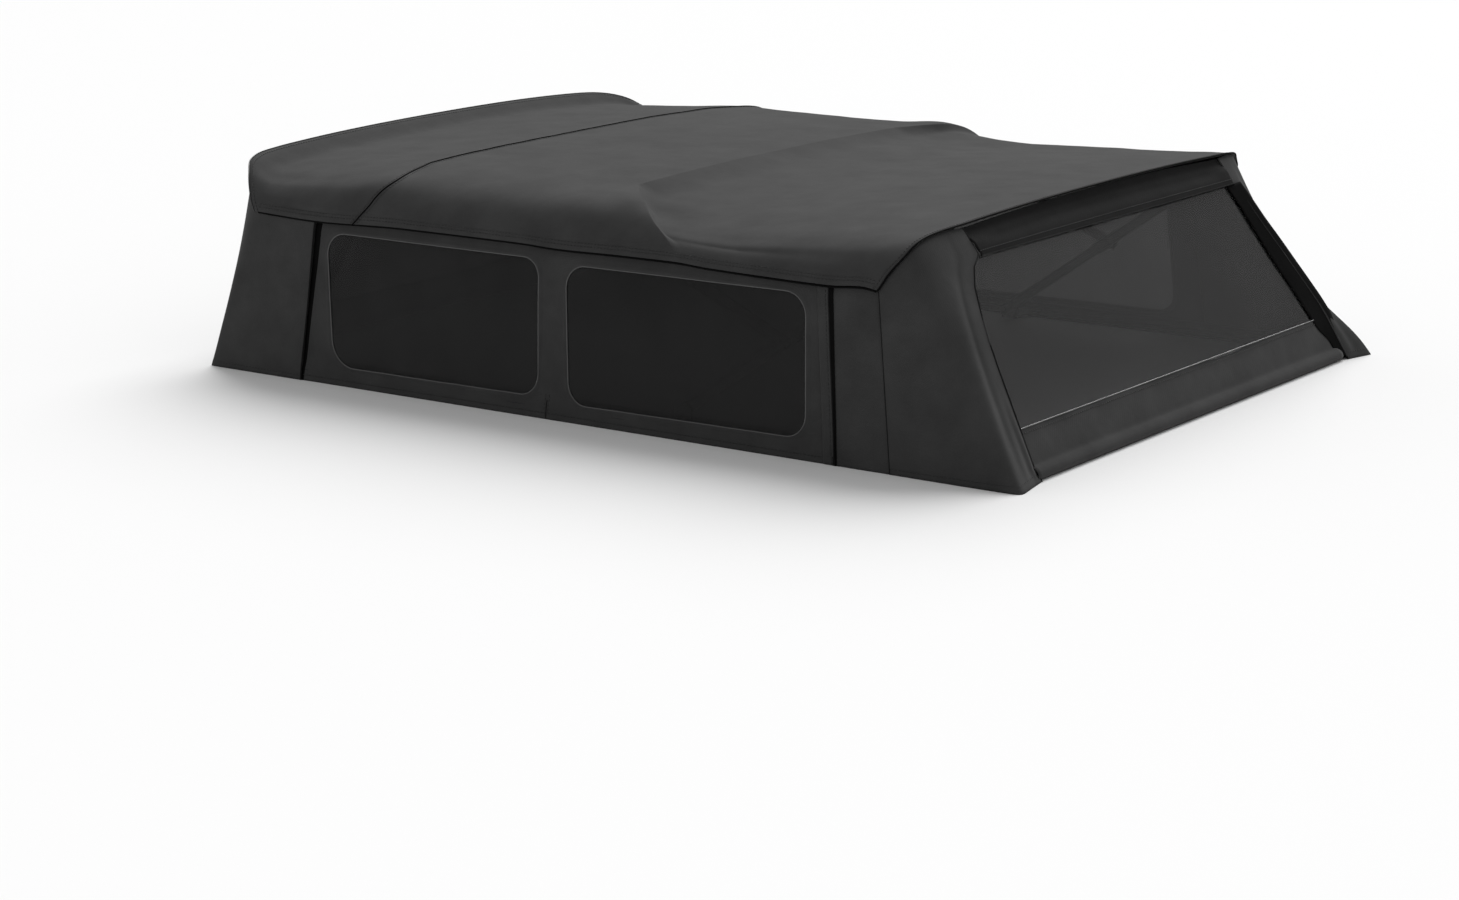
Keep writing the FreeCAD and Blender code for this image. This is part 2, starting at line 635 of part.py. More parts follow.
def roof_profile(half, low, rise):
    """Closed shell section of the roof: hem, shoulder, crowned top."""
    top = "D.roof_height + %s" % rise
    thick = "D.cloth_thick"
    shoulder = "(%s - D.shoulder_inset)" % half
    deck = "(%s - D.deck_inset)" % half
    mid = "%s + D.shoulder_rise" % low
    hem_in = "D.hem_bend - %s" % thick
    deck_in = "D.deck_bend - %s" % thick
    return [
        ("-(%s)" % half, low, None),
        ("-" + shoulder, mid, "D.hem_bend"),
        ("-" + deck, "D.roof_height", "D.deck_bend"),
        ("0", top, "D.crown_bend"),
        (deck, "D.roof_height", "D.deck_bend"),
        (shoulder, mid, "D.hem_bend"),
        (half, low, None),
        ("%s - %s" % (half, thick), low, None),
        ("%s - %s" % (shoulder, thick), mid, hem_in),
        ("%s - %s" % (deck, thick), "D.roof_height - %s" % thick, deck_in),
        ("0", "%s - %s" % (top, thick), "D.crown_bend"),
        ("-(%s - %s)" % (deck, thick), "D.roof_height - %s" % thick, deck_in),
        ("-(%s - %s)" % (shoulder, thick), mid, hem_in),
        ("-(%s - %s)" % (half, thick), low, None)]


EAVE_HALF = "(D.eave_width / 2 + D.roof_stand_off)"
EAVE_LOW = "(D.eave_height - D.roof_overhang)"
DECKS = (
    ("front_deck", "-(%s)" % HALF_X, "D.second_bow_x - D.cloth_gap / 2",
     EAVE_HALF, EAVE_HALF),
    ("middle_deck", "D.second_bow_x + D.cloth_gap / 2", "D.third_bow_x - D.cloth_gap / 2",
     EAVE_HALF, EAVE_HALF),
    ("rear_deck", "D.third_bow_x + D.cloth_gap / 2", "D.header_x", EAVE_HALF, EAVE_HALF),
)
for name, start, end, half_a, half_b in DECKS:
    rises = {"front_deck": ("D.roof_rise / 3", "D.roof_rise"),
             "middle_deck": ("D.roof_rise", "D.roof_rise"),
             "rear_deck": ("D.roof_rise", "D.roof_rise / 3")}[name]
    deck = loft(name, [(start, roof_profile(half_a, EAVE_LOW, rises[0])),
                       (end, roof_profile(half_b, EAVE_LOW, rises[1]))], "YZ_Plane")
    trims = {"front_deck": ("-(%s + 1)" % HALF_X, "D.front_head_half",
                            "-(%s - D.front_trim)" % HALF_X),
             "rear_deck": ("D.header_x + 1", "D.header_half", "D.header_x - D.deck_trim")}
    if name in trims:
        edge_x, inner_y, back_x = trims[name]
        trim = new_sketch(deck, "XY_Plane", name + "_trim")
        for sign in (-1, 1):
            outline(trim, [
                (edge_x, "%d * %s" % (sign, inner_y), None),
                (edge_x, "%d * (%s + D.trim_spare)" % (sign, EAVE_HALF), None),
                (back_x, "%d * (%s + D.trim_spare)" % (sign, EAVE_HALF), None)])
        pocket_through(deck, trim)


def rear_sheet(name, low, high, half_low, half_high, thick, cut=None):
    """Flat sheet on the sloping rear plane between two heights."""
    body = new_body(name)
    turn = "atan(D.rear_slope)"
    stretch = "cos(%s)" % turn
    shape = new_sketch(body, "YZ_Plane", name + "_shape")
    low_v = "((%s) / %s)" % (low, stretch)
    high_v = "((%s) / %s)" % (high, stretch)
    outline(shape, [("-(%s)" % half_low, low_v, None), (half_low, low_v, None),
                    (half_high, high_v, None), ("-(%s)" % half_high, high_v, None)])
    pad(body, shape, thick, reverse=True)
    if cut:
        hole = new_sketch(body, "YZ_Plane", name + "_hole")
        low_c, high_c, wide_low, wide_high = cut
        low_c = "((%s) / %s)" % (low_c, stretch)
        high_c = "((%s) / %s)" % (high_c, stretch)
        outline(hole, [("-(%s)" % wide_low, low_c, None), (wide_low, low_c, None),
                       (wide_high, high_c, None), ("-(%s)" % wide_high, high_c, None)])
        pocket_through(body, hole)
    place(body, rear_x("0"), "0", "0", (0, 1, 0), "-" + turn)
    return body


CURTAIN_LOW = "(D.rear_bar_height + D.cloth_thick * 0.62)"
WINDOW_TOP = "(%s - D.rear_window_margin)" % HEADER_LOW
rear_sheet("rear_header", HEADER_LOW + " + D.cloth_gap", "D.roof_height - D.header_hem",
           "D.rear_top_half", "D.header_half - D.header_cut", "D.cloth_thick")
rear_sheet("rear_curtain", CURTAIN_LOW, HEADER_LOW, rear_half(CURTAIN_LOW),
           rear_half(HEADER_LOW), "D.cloth_thick",
           cut=("D.rear_window_low", WINDOW_TOP,
                rear_half("D.rear_window_low") + " - D.rear_window_margin",
                rear_half(WINDOW_TOP) + " - D.rear_window_margin"))
rear_sheet("rear_window", "D.rear_window_low + D.cloth_gap", WINDOW_TOP + " - D.cloth_gap",
           rear_half("D.rear_window_low") + " - D.rear_window_margin - 2 * D.cloth_gap",
           rear_half(WINDOW_TOP) + " - D.rear_window_margin - 2 * D.cloth_gap",
           "D.pane_thick")

doc.recompute()

# Nothing is written unless every object and every node's shape is sound
for obj in doc.Objects:
    bad = [state for state in obj.State if state in ("Invalid", "Error")]
    if bad:
        raise RuntimeError("%s: %s" % (obj.Label, bad))
for body in NODES:
    shape = body.Shape
    if shape.isNull() or not shape.isValid():
        raise RuntimeError("%s has no sound shape" % body.Label)
os.makedirs("parts", exist_ok=True)
for body in NODES:
    body.Shape.exportStep(os.path.join("parts", body.Label + ".step"))
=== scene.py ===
import logging
import math
from dataclasses import dataclass
from enum import Enum
from functools import cached_property
from typing import Any, Callable, Mapping, Sequence

import bmesh
import bpy
from mathutils import Matrix, Vector, noise


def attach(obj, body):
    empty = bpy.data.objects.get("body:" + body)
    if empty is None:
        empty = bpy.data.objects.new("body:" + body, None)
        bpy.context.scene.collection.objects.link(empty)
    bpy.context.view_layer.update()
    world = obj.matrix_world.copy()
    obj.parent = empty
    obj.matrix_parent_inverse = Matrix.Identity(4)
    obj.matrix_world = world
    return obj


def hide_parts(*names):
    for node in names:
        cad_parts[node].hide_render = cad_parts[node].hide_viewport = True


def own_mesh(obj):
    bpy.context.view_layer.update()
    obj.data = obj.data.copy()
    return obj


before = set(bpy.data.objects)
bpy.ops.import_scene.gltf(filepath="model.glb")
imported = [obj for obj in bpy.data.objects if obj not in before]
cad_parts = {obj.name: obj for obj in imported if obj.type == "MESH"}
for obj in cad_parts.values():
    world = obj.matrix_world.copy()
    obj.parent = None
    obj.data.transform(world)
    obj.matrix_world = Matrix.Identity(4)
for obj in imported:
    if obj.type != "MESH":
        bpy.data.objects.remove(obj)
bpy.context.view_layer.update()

LOG = logging.getLogger("soft_canopy")
MM = 0.001
CLOTH_MM = 2.0
STRIP_MM = 1.8
# thickness of the near-black sheet that is painted shadow beside the rear window
SHADOW_SHEET_MM = 0.8
FILM_MM = 0.8
# thickness of the near-black strips that are painted shadow in the flaps' gaps
SHADOW_STRIP_MM = 0.5
IMAGE_WIDTH = 1459
SENSOR_MM = 36.0
# real stitches are 4 mm apart, drawn coarser to show
STITCH_PITCH_MM = 9.0
STITCH_LENGTH_MM = 6.0
STITCH_THICK_MM = 1.3

Place = Callable[[float, float], Vector]


class Side(Enum):
    """The two sides of the canopy; the value is the sign of Y."""

    LEFT = -1
    RIGHT = 1

    @property
    def word(self) -> str:
        """The side's name, as the frame's nodes have it."""
        return self.name.lower()


def ease(t: float) -> float:
    """Smooth step from 0 to 1."""
    t = min(max(t, 0.0), 1.0)
    return t * t * (3.0 - 2.0 * t)


def blend(a: float, b: float, t: float) -> float:
    """Straight mix of two numbers."""
    return a + (b - a) * t


def table(pairs: Sequence[tuple[float, float]], x: float) -> float:
    """Reads a value off a table of (x, value) pairs, smoothly between them.

    Args:
        pairs: Pairs in rising order of x.
        x: Where to read.

    Returns:
        The value there; past the ends it is the end's own value.
    """
    if x <= pairs[0][0]:
        return pairs[0][1]
    if x >= pairs[-1][0]:
        return pairs[-1][1]
    k = next(n for n in range(1, len(pairs)) if x <= pairs[n][0])
    (x0, v0), (x1, v1) = pairs[k - 1], pairs[k]
    rise = (v1 - v0) / (x1 - x0)
    ends = []
    for n in (k - 1, k):
        if n == 0 or n == len(pairs) - 1:
            ends.append(rise)
            continue
        before = (pairs[n][1] - pairs[n - 1][1]) / (pairs[n][0] - pairs[n - 1][0])
        after = (pairs[n + 1][1] - pairs[n][1]) / (pairs[n + 1][0] - pairs[n][0])
        steady = before * after > 0
        ends.append(2 * before * after / (before + after) if steady else 0.0)
    f = (x - x0) / (x1 - x0)
    curve = (1 - f) * (ends[0] - rise) - f * (ends[1] - rise)
    return blend(v0, v1, f) + f * (1 - f) * curve * (x1 - x0)


def spline(points: Sequence[Vector], t: float) -> Vector:
    """Cubic B-spline that starts and ends at its first and last points.

    Args:
        points: The points that hold it.
        t: Place along it, from 0 to 1.

    Returns:
        The point there.
    """
    held = [points[0], points[0], *points, points[-1], points[-1]]
    spans = len(held) - 3
    place = min(max(t, 0.0), 1.0) * spans
    k = min(int(place), spans - 1)
    f = place - k
    weights = (
        (1 - f) ** 3,
        3 * f**3 - 6 * f * f + 4,
        -3 * f**3 + 3 * f * f + 3 * f + 1,
        f**3,
    )
    total = held[k] * 0.0
    for w, p in zip(weights, held[k:k + 4]):
        total = total + p * (w / 6.0)
    return total


def along(points: Sequence[Vector], t: float) -> Vector:
    """Point on a run of straight lines, at a share of its whole length.

    Args:
        points: The run's corners.
        t: Share of its length.

    Returns:
        The point there.
    """
    lengths = [(b - a).length for a, b in zip(points, points[1:])]
    left = min(max(t, 0.0), 1.0) * sum(lengths)
    for a, b, length in zip(points, points[1:], lengths):
        if left <= length or b is points[-1]:
            return a.lerp(b, left / max(length, 1e-9))
        left -= length
    return points[-1].copy()


def shares(count: int) -> list[float]:
    """Shares from 0 to 1 in so many equal steps."""
    return [k / count for k in range(count + 1)]


def bell(x: float, centre: float, width: float) -> float:
    """Round hump of height 1 about a centre; width is where it has fallen to 1/e."""
    return math.exp(-((x - centre) / width) ** 2)


def ripple(x: float, y: float, z: float, size: float, seed: float) -> float:
    """Soft unevenness between -1 and 1 whose waves are about size mm long."""
    return noise.noise(Vector((x / size + seed, y / size, z / size)))


def link_mesh(name: str, mesh: bpy.types.Mesh) -> bpy.types.Object:
    """Puts a mesh into the scene as a smooth object at the origin.

    Args:
        name: The piece's name.
        mesh: Its mesh, in metres.

    Returns:
        The object.
    """
    mesh.name = name
    mesh.shade_smooth()
    piece = bpy.data.objects.new(name, mesh)
    bpy.context.scene.collection.objects.link(piece)
    return piece


def new_piece(name: str, work: bmesh.types.BMesh) -> bpy.types.Object:
    """Turns a bmesh, in metres, into an object at the origin.

    Args:
        name: The piece's name.
        work: The bmesh, which is freed.

    Returns:
        The object.
    """
    mesh = bpy.data.meshes.new(name)
    work.to_mesh(mesh)
    work.free()
    return link_mesh(name, mesh)


def grid_sheet(name: str, across: int, up: int, place: Place, flat_mm: tuple[float, float],
               closed: bool = False, flip: bool = False) -> bpy.types.Object:
    """A sheet made from one grid, laid over a form.

    Args:
        name: The piece's name.
        across: Faces along u.
        up: Faces along v.
        place: The form: (u, v) from 0 to 1 gives a point in mm.
        flat_mm: The sheet's size, which scales its UV map to metres.
        closed: The sheet's last edge meets its first one.
        flip: Turns the faces over, where u and v run the other way round.

    Returns:
        The piece, with its faces outwards.
    """
    work = bmesh.new()
    uvs = work.loops.layers.uv.new("cloth_uv")
    bmesh.ops.create_grid(work, x_segments=across, y_segments=up, size=0.5, calc_uvs=True)
    for face in work.faces:
        for loop in face.loops:
            loop[uvs].uv = (loop[uvs].uv[0] * flat_mm[0] * MM, loop[uvs].uv[1] * flat_mm[1] * MM)
    for vert in work.verts:
        vert.co = place(vert.co.x + 0.5, vert.co.y + 0.5) * MM
    if closed:
        bmesh.ops.remove_doubles(work, verts=work.verts, dist=1e-6)
    if flip:
        bmesh.ops.reverse_faces(work, faces=work.faces)
    return new_piece(name, work)


def thicken(piece: bpy.types.Object, thick_mm: float) -> None:
    """Gives a sheet its real thickness, inwards from its outer face.

    Args:
        piece: The sheet.
        thick_mm: Its thickness.
    """
    wall = piece.modifiers.new("wall", "SOLIDIFY")
    wall.thickness = thick_mm * MM
    wall.offset = -1.0
    wall.use_even_offset = False


def cord_mesh(name: str, points: Sequence[Vector], radius_mm: float,
              closed: bool = False) -> bpy.types.Object:
    """A thin round bead or piping sewn along a line of points in mm.

    Args:
        name: The piece's name.
        points: The line that it follows.
        radius_mm: Its radius.
        closed: Joins its end to its start.

    Returns:
        The bead as a mesh.
    """
    curve = bpy.data.curves.new(name + "_line", "CURVE")
    curve.dimensions = "3D"
    curve.bevel_depth = radius_mm * MM
    curve.bevel_resolution = 2
    curve.use_fill_caps = not closed
    run = curve.splines.new("POLY")
    run.points.add(len(points) - 1)
    for held, point in zip(run.points, points):
        held.co = (*(point * MM), 1.0)
    run.use_cyclic_u = closed
    rope = bpy.data.objects.new(name + "_line", curve)
    bpy.context.scene.collection.objects.link(rope)
    bpy.context.view_layer.update()
    mesh = bpy.data.meshes.new_from_object(rope.evaluated_get(
        bpy.context.evaluated_depsgraph_get()))
    bpy.data.objects.remove(rope)
    bpy.data.curves.remove(curve)
    return link_mesh(name, mesh)


def stitches(name: str, rows: Sequence[Sequence[Vector]]) -> bpy.types.Object:
    """Rows of sewn stitches, each a short five-sided thread.

    Args:
        name: The piece's name.
        rows: Lines of points in mm that the rows follow.

    Returns:
        All the stitches as one piece.
    """
    work = bmesh.new()
    for row in rows:
        whole = sum((b - a).length for a, b in zip(row, row[1:]))
        count = max(int(whole / STITCH_PITCH_MM), 1)
        half = 0.5 * STITCH_LENGTH_MM / whole
        for k in range(count):
            a = along(row, (k + 0.5) / count - half)
            b = along(row, (k + 0.5) / count + half)
            turn = (b - a).to_track_quat("Z", "Y").to_matrix().to_4x4()
            made = bmesh.ops.create_cone(
                work, cap_ends=True, segments=5, radius1=STITCH_THICK_MM * MM / 2,
                radius2=STITCH_THICK_MM * MM / 2, depth=(b - a).length * MM)
            bmesh.ops.transform(work, verts=made["verts"],
                                matrix=Matrix.Translation((a + b) * MM / 2) @ turn)
    return new_piece(name, work)


def linear(colour: str) -> tuple[float, float, float, float]:
    """Linear RGBA of an sRGB hex colour such as #2b2b2b."""
    parts = [int(colour[k:k + 2], 16) / 255 for k in (1, 3, 5)]
    return (*[p / 12.92 if p <= 0.04045 else ((p + 0.055) / 1.055) ** 2.4 for p in parts], 1.0)


def add_node(tree: bpy.types.NodeTree, kind: str, settings: Mapping[str, Any] | None = None,
             values: Mapping[str, Any] | None = None,
             links: Mapping[str, Any] | None = None) -> bpy.types.Node:
    """Adds a node with its settings, its sockets' values and its links.

    Args:
        tree: The material's node tree.
        kind: The node's type.
        settings: Properties of the node.
        values: Values of its input sockets, by name.
        links: Output sockets that feed its inputs, by input name.

    Returns:
        The node.
    """
    node = tree.nodes.new(kind)
    for key, value in (settings or {}).items():
        setattr(node, key, value)
    for key, value in (values or {}).items():
        node.inputs[key].default_value = value
    for key, source in (links or {}).items():
        tree.links.new(source, node.inputs[key])
    return node


def start_material(name: str) -> tuple[bpy.types.Material, bpy.types.NodeTree, bpy.types.Node]:
    """An empty material with its shader joined to the output.

    Args:
        name: The material's name.

    Returns:
        The material, its node tree and its shader.
    """
    material = bpy.data.materials.new(name)
    material.use_nodes = True
    tree = material.node_tree
    tree.nodes.clear()
    shader = add_node(tree, "ShaderNodeBsdfPrincipled")
    add_node(tree, "ShaderNodeOutputMaterial", links={"Surface": shader.outputs["BSDF"]})
    return material, tree, shader


@dataclass(frozen=True)
class CoatedCloth:
    """Woven polyester cloth with a matte vinyl coat, calendered on a twill ground.

    It gives the eye a deep soft black that greys towards the light, a fine
    diagonal grain, and faint clouds where the coat was folded in its box.
    """

    name: str
    dark: str = "#363636"
    light: str = "#414141"
    roughness: float = 0.85
    sheen: float = 0.07
    gloss: float = 0.05
    # twill lines are 0.7 mm apart on the real cloth, drawn 4 mm apart to show
    thread_mm: float = 4.0
    twill_deg: float = 62.0
    grain_mm: float = 1.6
    cloud_mm: float = 90.0

    def make(self) -> bpy.types.Material:
        """Builds the cloth's material.

        Returns:
            The material.
        """
        material, tree, shader = start_material(self.name)
        place = add_node(tree, "ShaderNodeTexCoord")
        surface, space = place.outputs["UV"], place.outputs["Object"]
        cloud = add_node(tree, "ShaderNodeTexNoise",
                         values={"Scale": 1000 / self.cloud_mm, "Detail": 3.0, "Roughness": 0.55},
                         links={"Vector": space})
        grain = add_node(tree, "ShaderNodeTexNoise",
                         values={"Scale": 1000 / self.grain_mm, "Detail": 2.0, "Roughness": 0.6},
                         links={"Vector": space})
        turned = add_node(tree, "ShaderNodeMapping",
                          values={"Rotation": (0, 0, math.radians(self.twill_deg))},
                          links={"Vector": surface})
        twill = add_node(tree, "ShaderNodeTexWave", {"wave_type": "BANDS"},
                         {"Scale": 2000 / self.thread_mm / math.tau, "Distortion": 1.2,
                          "Detail": 1.0, "Detail Scale": 1.5}, {"Vector": turned.outputs["Vector"]})
        tone = add_node(tree, "ShaderNodeMix", {"data_type": "FLOAT"}, {"Factor": 0.3},
                        {"A": cloud.outputs["Fac"], "B": grain.outputs["Fac"]})
        colour = add_node(tree, "ShaderNodeValToRGB", links={"Fac": tone.outputs["Result"]})
        for stop, place, shade in zip(colour.color_ramp.elements, (0.30, 0.70),
                                      (self.dark, self.light)):
            stop.position = place
            stop.color = linear(shade)
        rough = add_node(tree, "ShaderNodeMapRange",
                         values={"To Min": self.roughness - 0.06, "To Max": self.roughness + 0.08},
                         links={"Value": grain.outputs["Fac"]})
        fine = add_node(tree, "ShaderNodeBump", values={"Strength": 0.30, "Distance": 0.0004},
                        links={"Height": twill.outputs["Fac"]})
        pebbled = add_node(tree, "ShaderNodeBump", values={"Strength": 0.35, "Distance": 0.0006},
                           links={"Height": grain.outputs["Fac"],
                                  "Normal": fine.outputs["Normal"]})
        soft = add_node(tree, "ShaderNodeBump", values={"Strength": 0.25, "Distance": 0.006},
                        links={"Height": cloud.outputs["Fac"],
                               "Normal": pebbled.outputs["Normal"]})
        tree.links.new(colour.outputs["Color"], shader.inputs["Base Color"])
        tree.links.new(rough.outputs["Result"], shader.inputs["Roughness"])
        tree.links.new(soft.outputs["Normal"], shader.inputs["Normal"])
        shader.inputs["Sheen Weight"].default_value = self.sheen
        shader.inputs["Sheen Roughness"].default_value = 0.5
        shader.inputs["Specular IOR Level"].default_value = self.gloss
        return material


@dataclass(frozen=True)
class TintedFilm:
    """Smoke-tinted clear vinyl, pressed and polished, sewn in as windows.

    It gives the eye a dark glossy pane that lets a little of the light through
    and shows slow waves where the film isn't quite flat.
    """

    name: str
    tint: str
    opacity: float
    gloss: float
    roughness: float = 0.12
    wave_mm: float = 160.0
    haze_mm: float = 71.43

    def make(self) -> bpy.types.Material:
        """Builds the film's material.

        Returns:
            The material.
        """
        material, tree, shader = start_material(self.name)
        place = add_node(tree, "ShaderNodeTexCoord")
        wave = add_node(tree, "ShaderNodeTexNoise",
                        values={"Scale": 1000 / self.wave_mm, "Detail": 1.0},
                        links={"Vector": place.outputs["Object"]})
        haze = add_node(tree, "ShaderNodeTexNoise",
                        values={"Scale": 1000 / self.haze_mm, "Detail": 4.0},
                        links={"Vector": place.outputs["Object"]})
        rough = add_node(tree, "ShaderNodeMapRange",
                         values={"To Min": self.roughness * 0.7, "To Max": self.roughness * 1.8},
                         links={"Value": haze.outputs["Fac"]})
        bent = add_node(tree, "ShaderNodeBump", values={"Strength": 0.06, "Distance": 0.003},
                        links={"Height": wave.outputs["Fac"]})
        tree.links.new(rough.outputs["Result"], shader.inputs["Roughness"])
        tree.links.new(bent.outputs["Normal"], shader.inputs["Normal"])
        shader.inputs["Base Color"].default_value = linear(self.tint)
        shader.inputs["Alpha"].default_value = self.opacity
        shader.inputs["Specular IOR Level"].default_value = self.gloss
        return material


@dataclass(frozen=True)
class MouldedVinyl:
    """Extruded vinyl of piping and welded window edges, smooth from the die.

    It gives the eye a thin line with a soft highlight along its crown.
    """

    name: str
    colour: str = "#1a1a1a"
    roughness: float = 0.42
    mark_mm: float = 7.0

    def make(self) -> bpy.types.Material:
        """Builds the vinyl's material.

        Returns:
            The material.
        """
        material, tree, shader = start_material(self.name)
        place = add_node(tree, "ShaderNodeTexCoord")
        marks = add_node(tree, "ShaderNodeTexNoise",
                         values={"Scale": 1000 / self.mark_mm, "Detail": 3.0},
                         links={"Vector": place.outputs["Object"]})
        rough = add_node(tree, "ShaderNodeMapRange",
                         values={"To Min": self.roughness - 0.08, "To Max": self.roughness + 0.12},
                         links={"Value": marks.outputs["Fac"]})
        uneven = add_node(tree, "ShaderNodeBump", values={"Strength": 0.2, "Distance": 0.0005},
                          links={"Height": marks.outputs["Fac"]})
        tree.links.new(rough.outputs["Result"], shader.inputs["Roughness"])
        tree.links.new(uneven.outputs["Normal"], shader.inputs["Normal"])
        shader.inputs["Base Color"].default_value = linear(self.colour)
        return material


@dataclass(frozen=True)
class PowderCoat:
    """Black polyester powder baked on steel tube.

    It gives the eye a satin black with the fine orange peel of baked powder.
    """

    name: str
    colour: str = "#1c1c1c"
    roughness: float = 0.46
    peel_mm: float = 2.2
    dust_mm: float = 111.1

    def make(self) -> bpy.types.Material:
        """Builds the powder coat's material.

        Returns:
            The material.
        """
        material, tree, shader = start_material(self.name)
        place = add_node(tree, "ShaderNodeTexCoord")
        peel = add_node(tree, "ShaderNodeTexNoise",
                        values={"Scale": 1000 / self.peel_mm, "Detail": 2.0},
                        links={"Vector": place.outputs["Object"]})
        dust = add_node(tree, "ShaderNodeTexNoise",
                        values={"Scale": 1000 / self.dust_mm, "Detail": 4.0},
                        links={"Vector": place.outputs["Object"]})
        rough = add_node(tree, "ShaderNodeMapRange",
                         values={"To Min": self.roughness - 0.07, "To Max": self.roughness + 0.15},
                         links={"Value": dust.outputs["Fac"]})
        bump = add_node(tree, "ShaderNodeBump", values={"Strength": 0.15, "Distance": 0.0004},
                        links={"Height": peel.outputs["Fac"]})
        tree.links.new(rough.outputs["Result"], shader.inputs["Roughness"])
        tree.links.new(bump.outputs["Normal"], shader.inputs["Normal"])
        shader.inputs["Base Color"].default_value = linear(self.colour)
        return material


@dataclass(frozen=True)
class AnodisedRail:
    """Extruded aluminium, brushed along its length and anodised black.

    It gives the eye a cool dark metal with fine lines that run along the rail.
    """

    name: str
    colour: str = "#2e2f31"
    roughness: float = 0.36
    line_mm: float = 0.9

    def make(self) -> bpy.types.Material:
        """Builds the anodised metal's material.

        Returns:
            The material.
        """
        material, tree, shader = start_material(self.name)
        place = add_node(tree, "ShaderNodeTexCoord")
        drawn = add_node(tree, "ShaderNodeMapping", values={"Scale": (0.02, 1.0, 1.0)},
                         links={"Vector": place.outputs["Object"]})
        lines = add_node(tree, "ShaderNodeTexNoise",
                         values={"Scale": 1000 / self.line_mm, "Detail": 2.0},
                         links={"Vector": drawn.outputs["Vector"]})
        rough = add_node(tree, "ShaderNodeMapRange",
                         values={"To Min": self.roughness - 0.08, "To Max": self.roughness + 0.10},
                         links={"Value": lines.outputs["Fac"]})
        bump = add_node(tree, "ShaderNodeBump", values={"Strength": 0.12, "Distance": 0.0003},
                        links={"Height": lines.outputs["Fac"]})
        tree.links.new(rough.outputs["Result"], shader.inputs["Roughness"])
        tree.links.new(bump.outputs["Normal"], shader.inputs["Normal"])
        shader.inputs["Base Color"].default_value = linear(self.colour)
        shader.inputs["Metallic"].default_value = 1.0
        return material


@dataclass(frozen=True)
class MattePaper:
    """Pale paper board, rolled and uncoated, under the canopy.

    It gives the eye a flat pale ground without any gloss.
    """

    name: str
    colour: str = "#f4f4f4"
    fibre_mm: float = 25.0
    roughness: float = 0.9
    gloss: float = 0.1

    def make(self) -> bpy.types.Material:
        """Builds the paper's material.

        Returns:
            The material.
        """
        material, tree, shader = start_material(self.name)
        place = add_node(tree, "ShaderNodeTexCoord")
        mottle = add_node(tree, "ShaderNodeTexNoise", values={"Scale": 1000 / self.fibre_mm},
                          links={"Vector": place.outputs["Object"]})
        bump = add_node(tree, "ShaderNodeBump", values={"Strength": 0.05, "Distance": 0.001},
                        links={"Height": mottle.outputs["Fac"]})
        tree.links.new(bump.outputs["Normal"], shader.inputs["Normal"])
        shader.inputs["Base Color"].default_value = linear(self.colour)
        shader.inputs["Roughness"].default_value = self.roughness
        shader.inputs["Specular IOR Level"].default_value = self.gloss
        return material


@dataclass
class Finishes:
    """The canopy's finishes, each made once."""

    cloth: bpy.types.Material
    header: bpy.types.Material
    seam: bpy.types.Material
    tape: bpy.types.Material
    side_film: bpy.types.Material
    rear_film: bpy.types.Material
    vinyl: bpy.types.Material
    weld: bpy.types.Material
    thread: bpy.types.Material
    powder: bpy.types.Material
    rail: bpy.types.Material

    @classmethod
    def build(cls) -> "Finishes":
        """Makes every finish.

        Returns:
            All of them together.
        """
        return cls(
            cloth=CoatedCloth("coated_cloth").make(),
            # the header band's cloth is coloured near black: painted shade under the roof's
            # overhang, on a band that faces away from the light
            header=CoatedCloth("header_painted_shade_cloth", dark="#0f0f0f", light="#161616",
                               thread_mm=5.0).make(),
            seam=CoatedCloth("folded_seam_cloth", dark="#161616", light="#202020").make(),
            # near-black strips: painted shadow in the gaps beside the flaps and under the hems, and
            # the dark joints of the welt and the rear piping
            tape=CoatedCloth("closure_tape", dark="#080808", light="#101010", gloss=0.05,
                             sheen=0.0, thread_mm=3.0).make(),
            side_film=TintedFilm("side_window_film", tint="#242424", opacity=0.80,
                                 gloss=0.10).make(),
            rear_film=TintedFilm("rear_window_film", tint="#383838", opacity=0.48,
                                 gloss=0.35).make(),
            vinyl=MouldedVinyl("piping_vinyl").make(),
            # the welded edges are coloured light grey: partly the milky edge of the clear film,
            # partly a painted highlight along the bead's crown
            weld=MouldedVinyl("welded_window_edge", colour="#525252", roughness=0.16).make(),
            thread=MouldedVinyl("bonded_thread", colour="#1b1b1b", roughness=0.6).make(),
            powder=PowderCoat("powder_coat").make(),
            rail=AnodisedRail("anodised_rail").make(),
        )


def finish(piece: bpy.types.Object, material: bpy.types.Material) -> bpy.types.Object:
    """Gives a soft piece its material and its body, and a mesh of its own.

    Args:
        piece: The piece.
        material: Its finish.

    Returns:
        The same piece.
    """
    piece.data.materials.clear()
    piece.data.materials.append(material)
    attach(piece, "base")
    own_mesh(piece)
    LOG.info("%s: %d faces", piece.name, len(piece.data.polygons))
    return piece


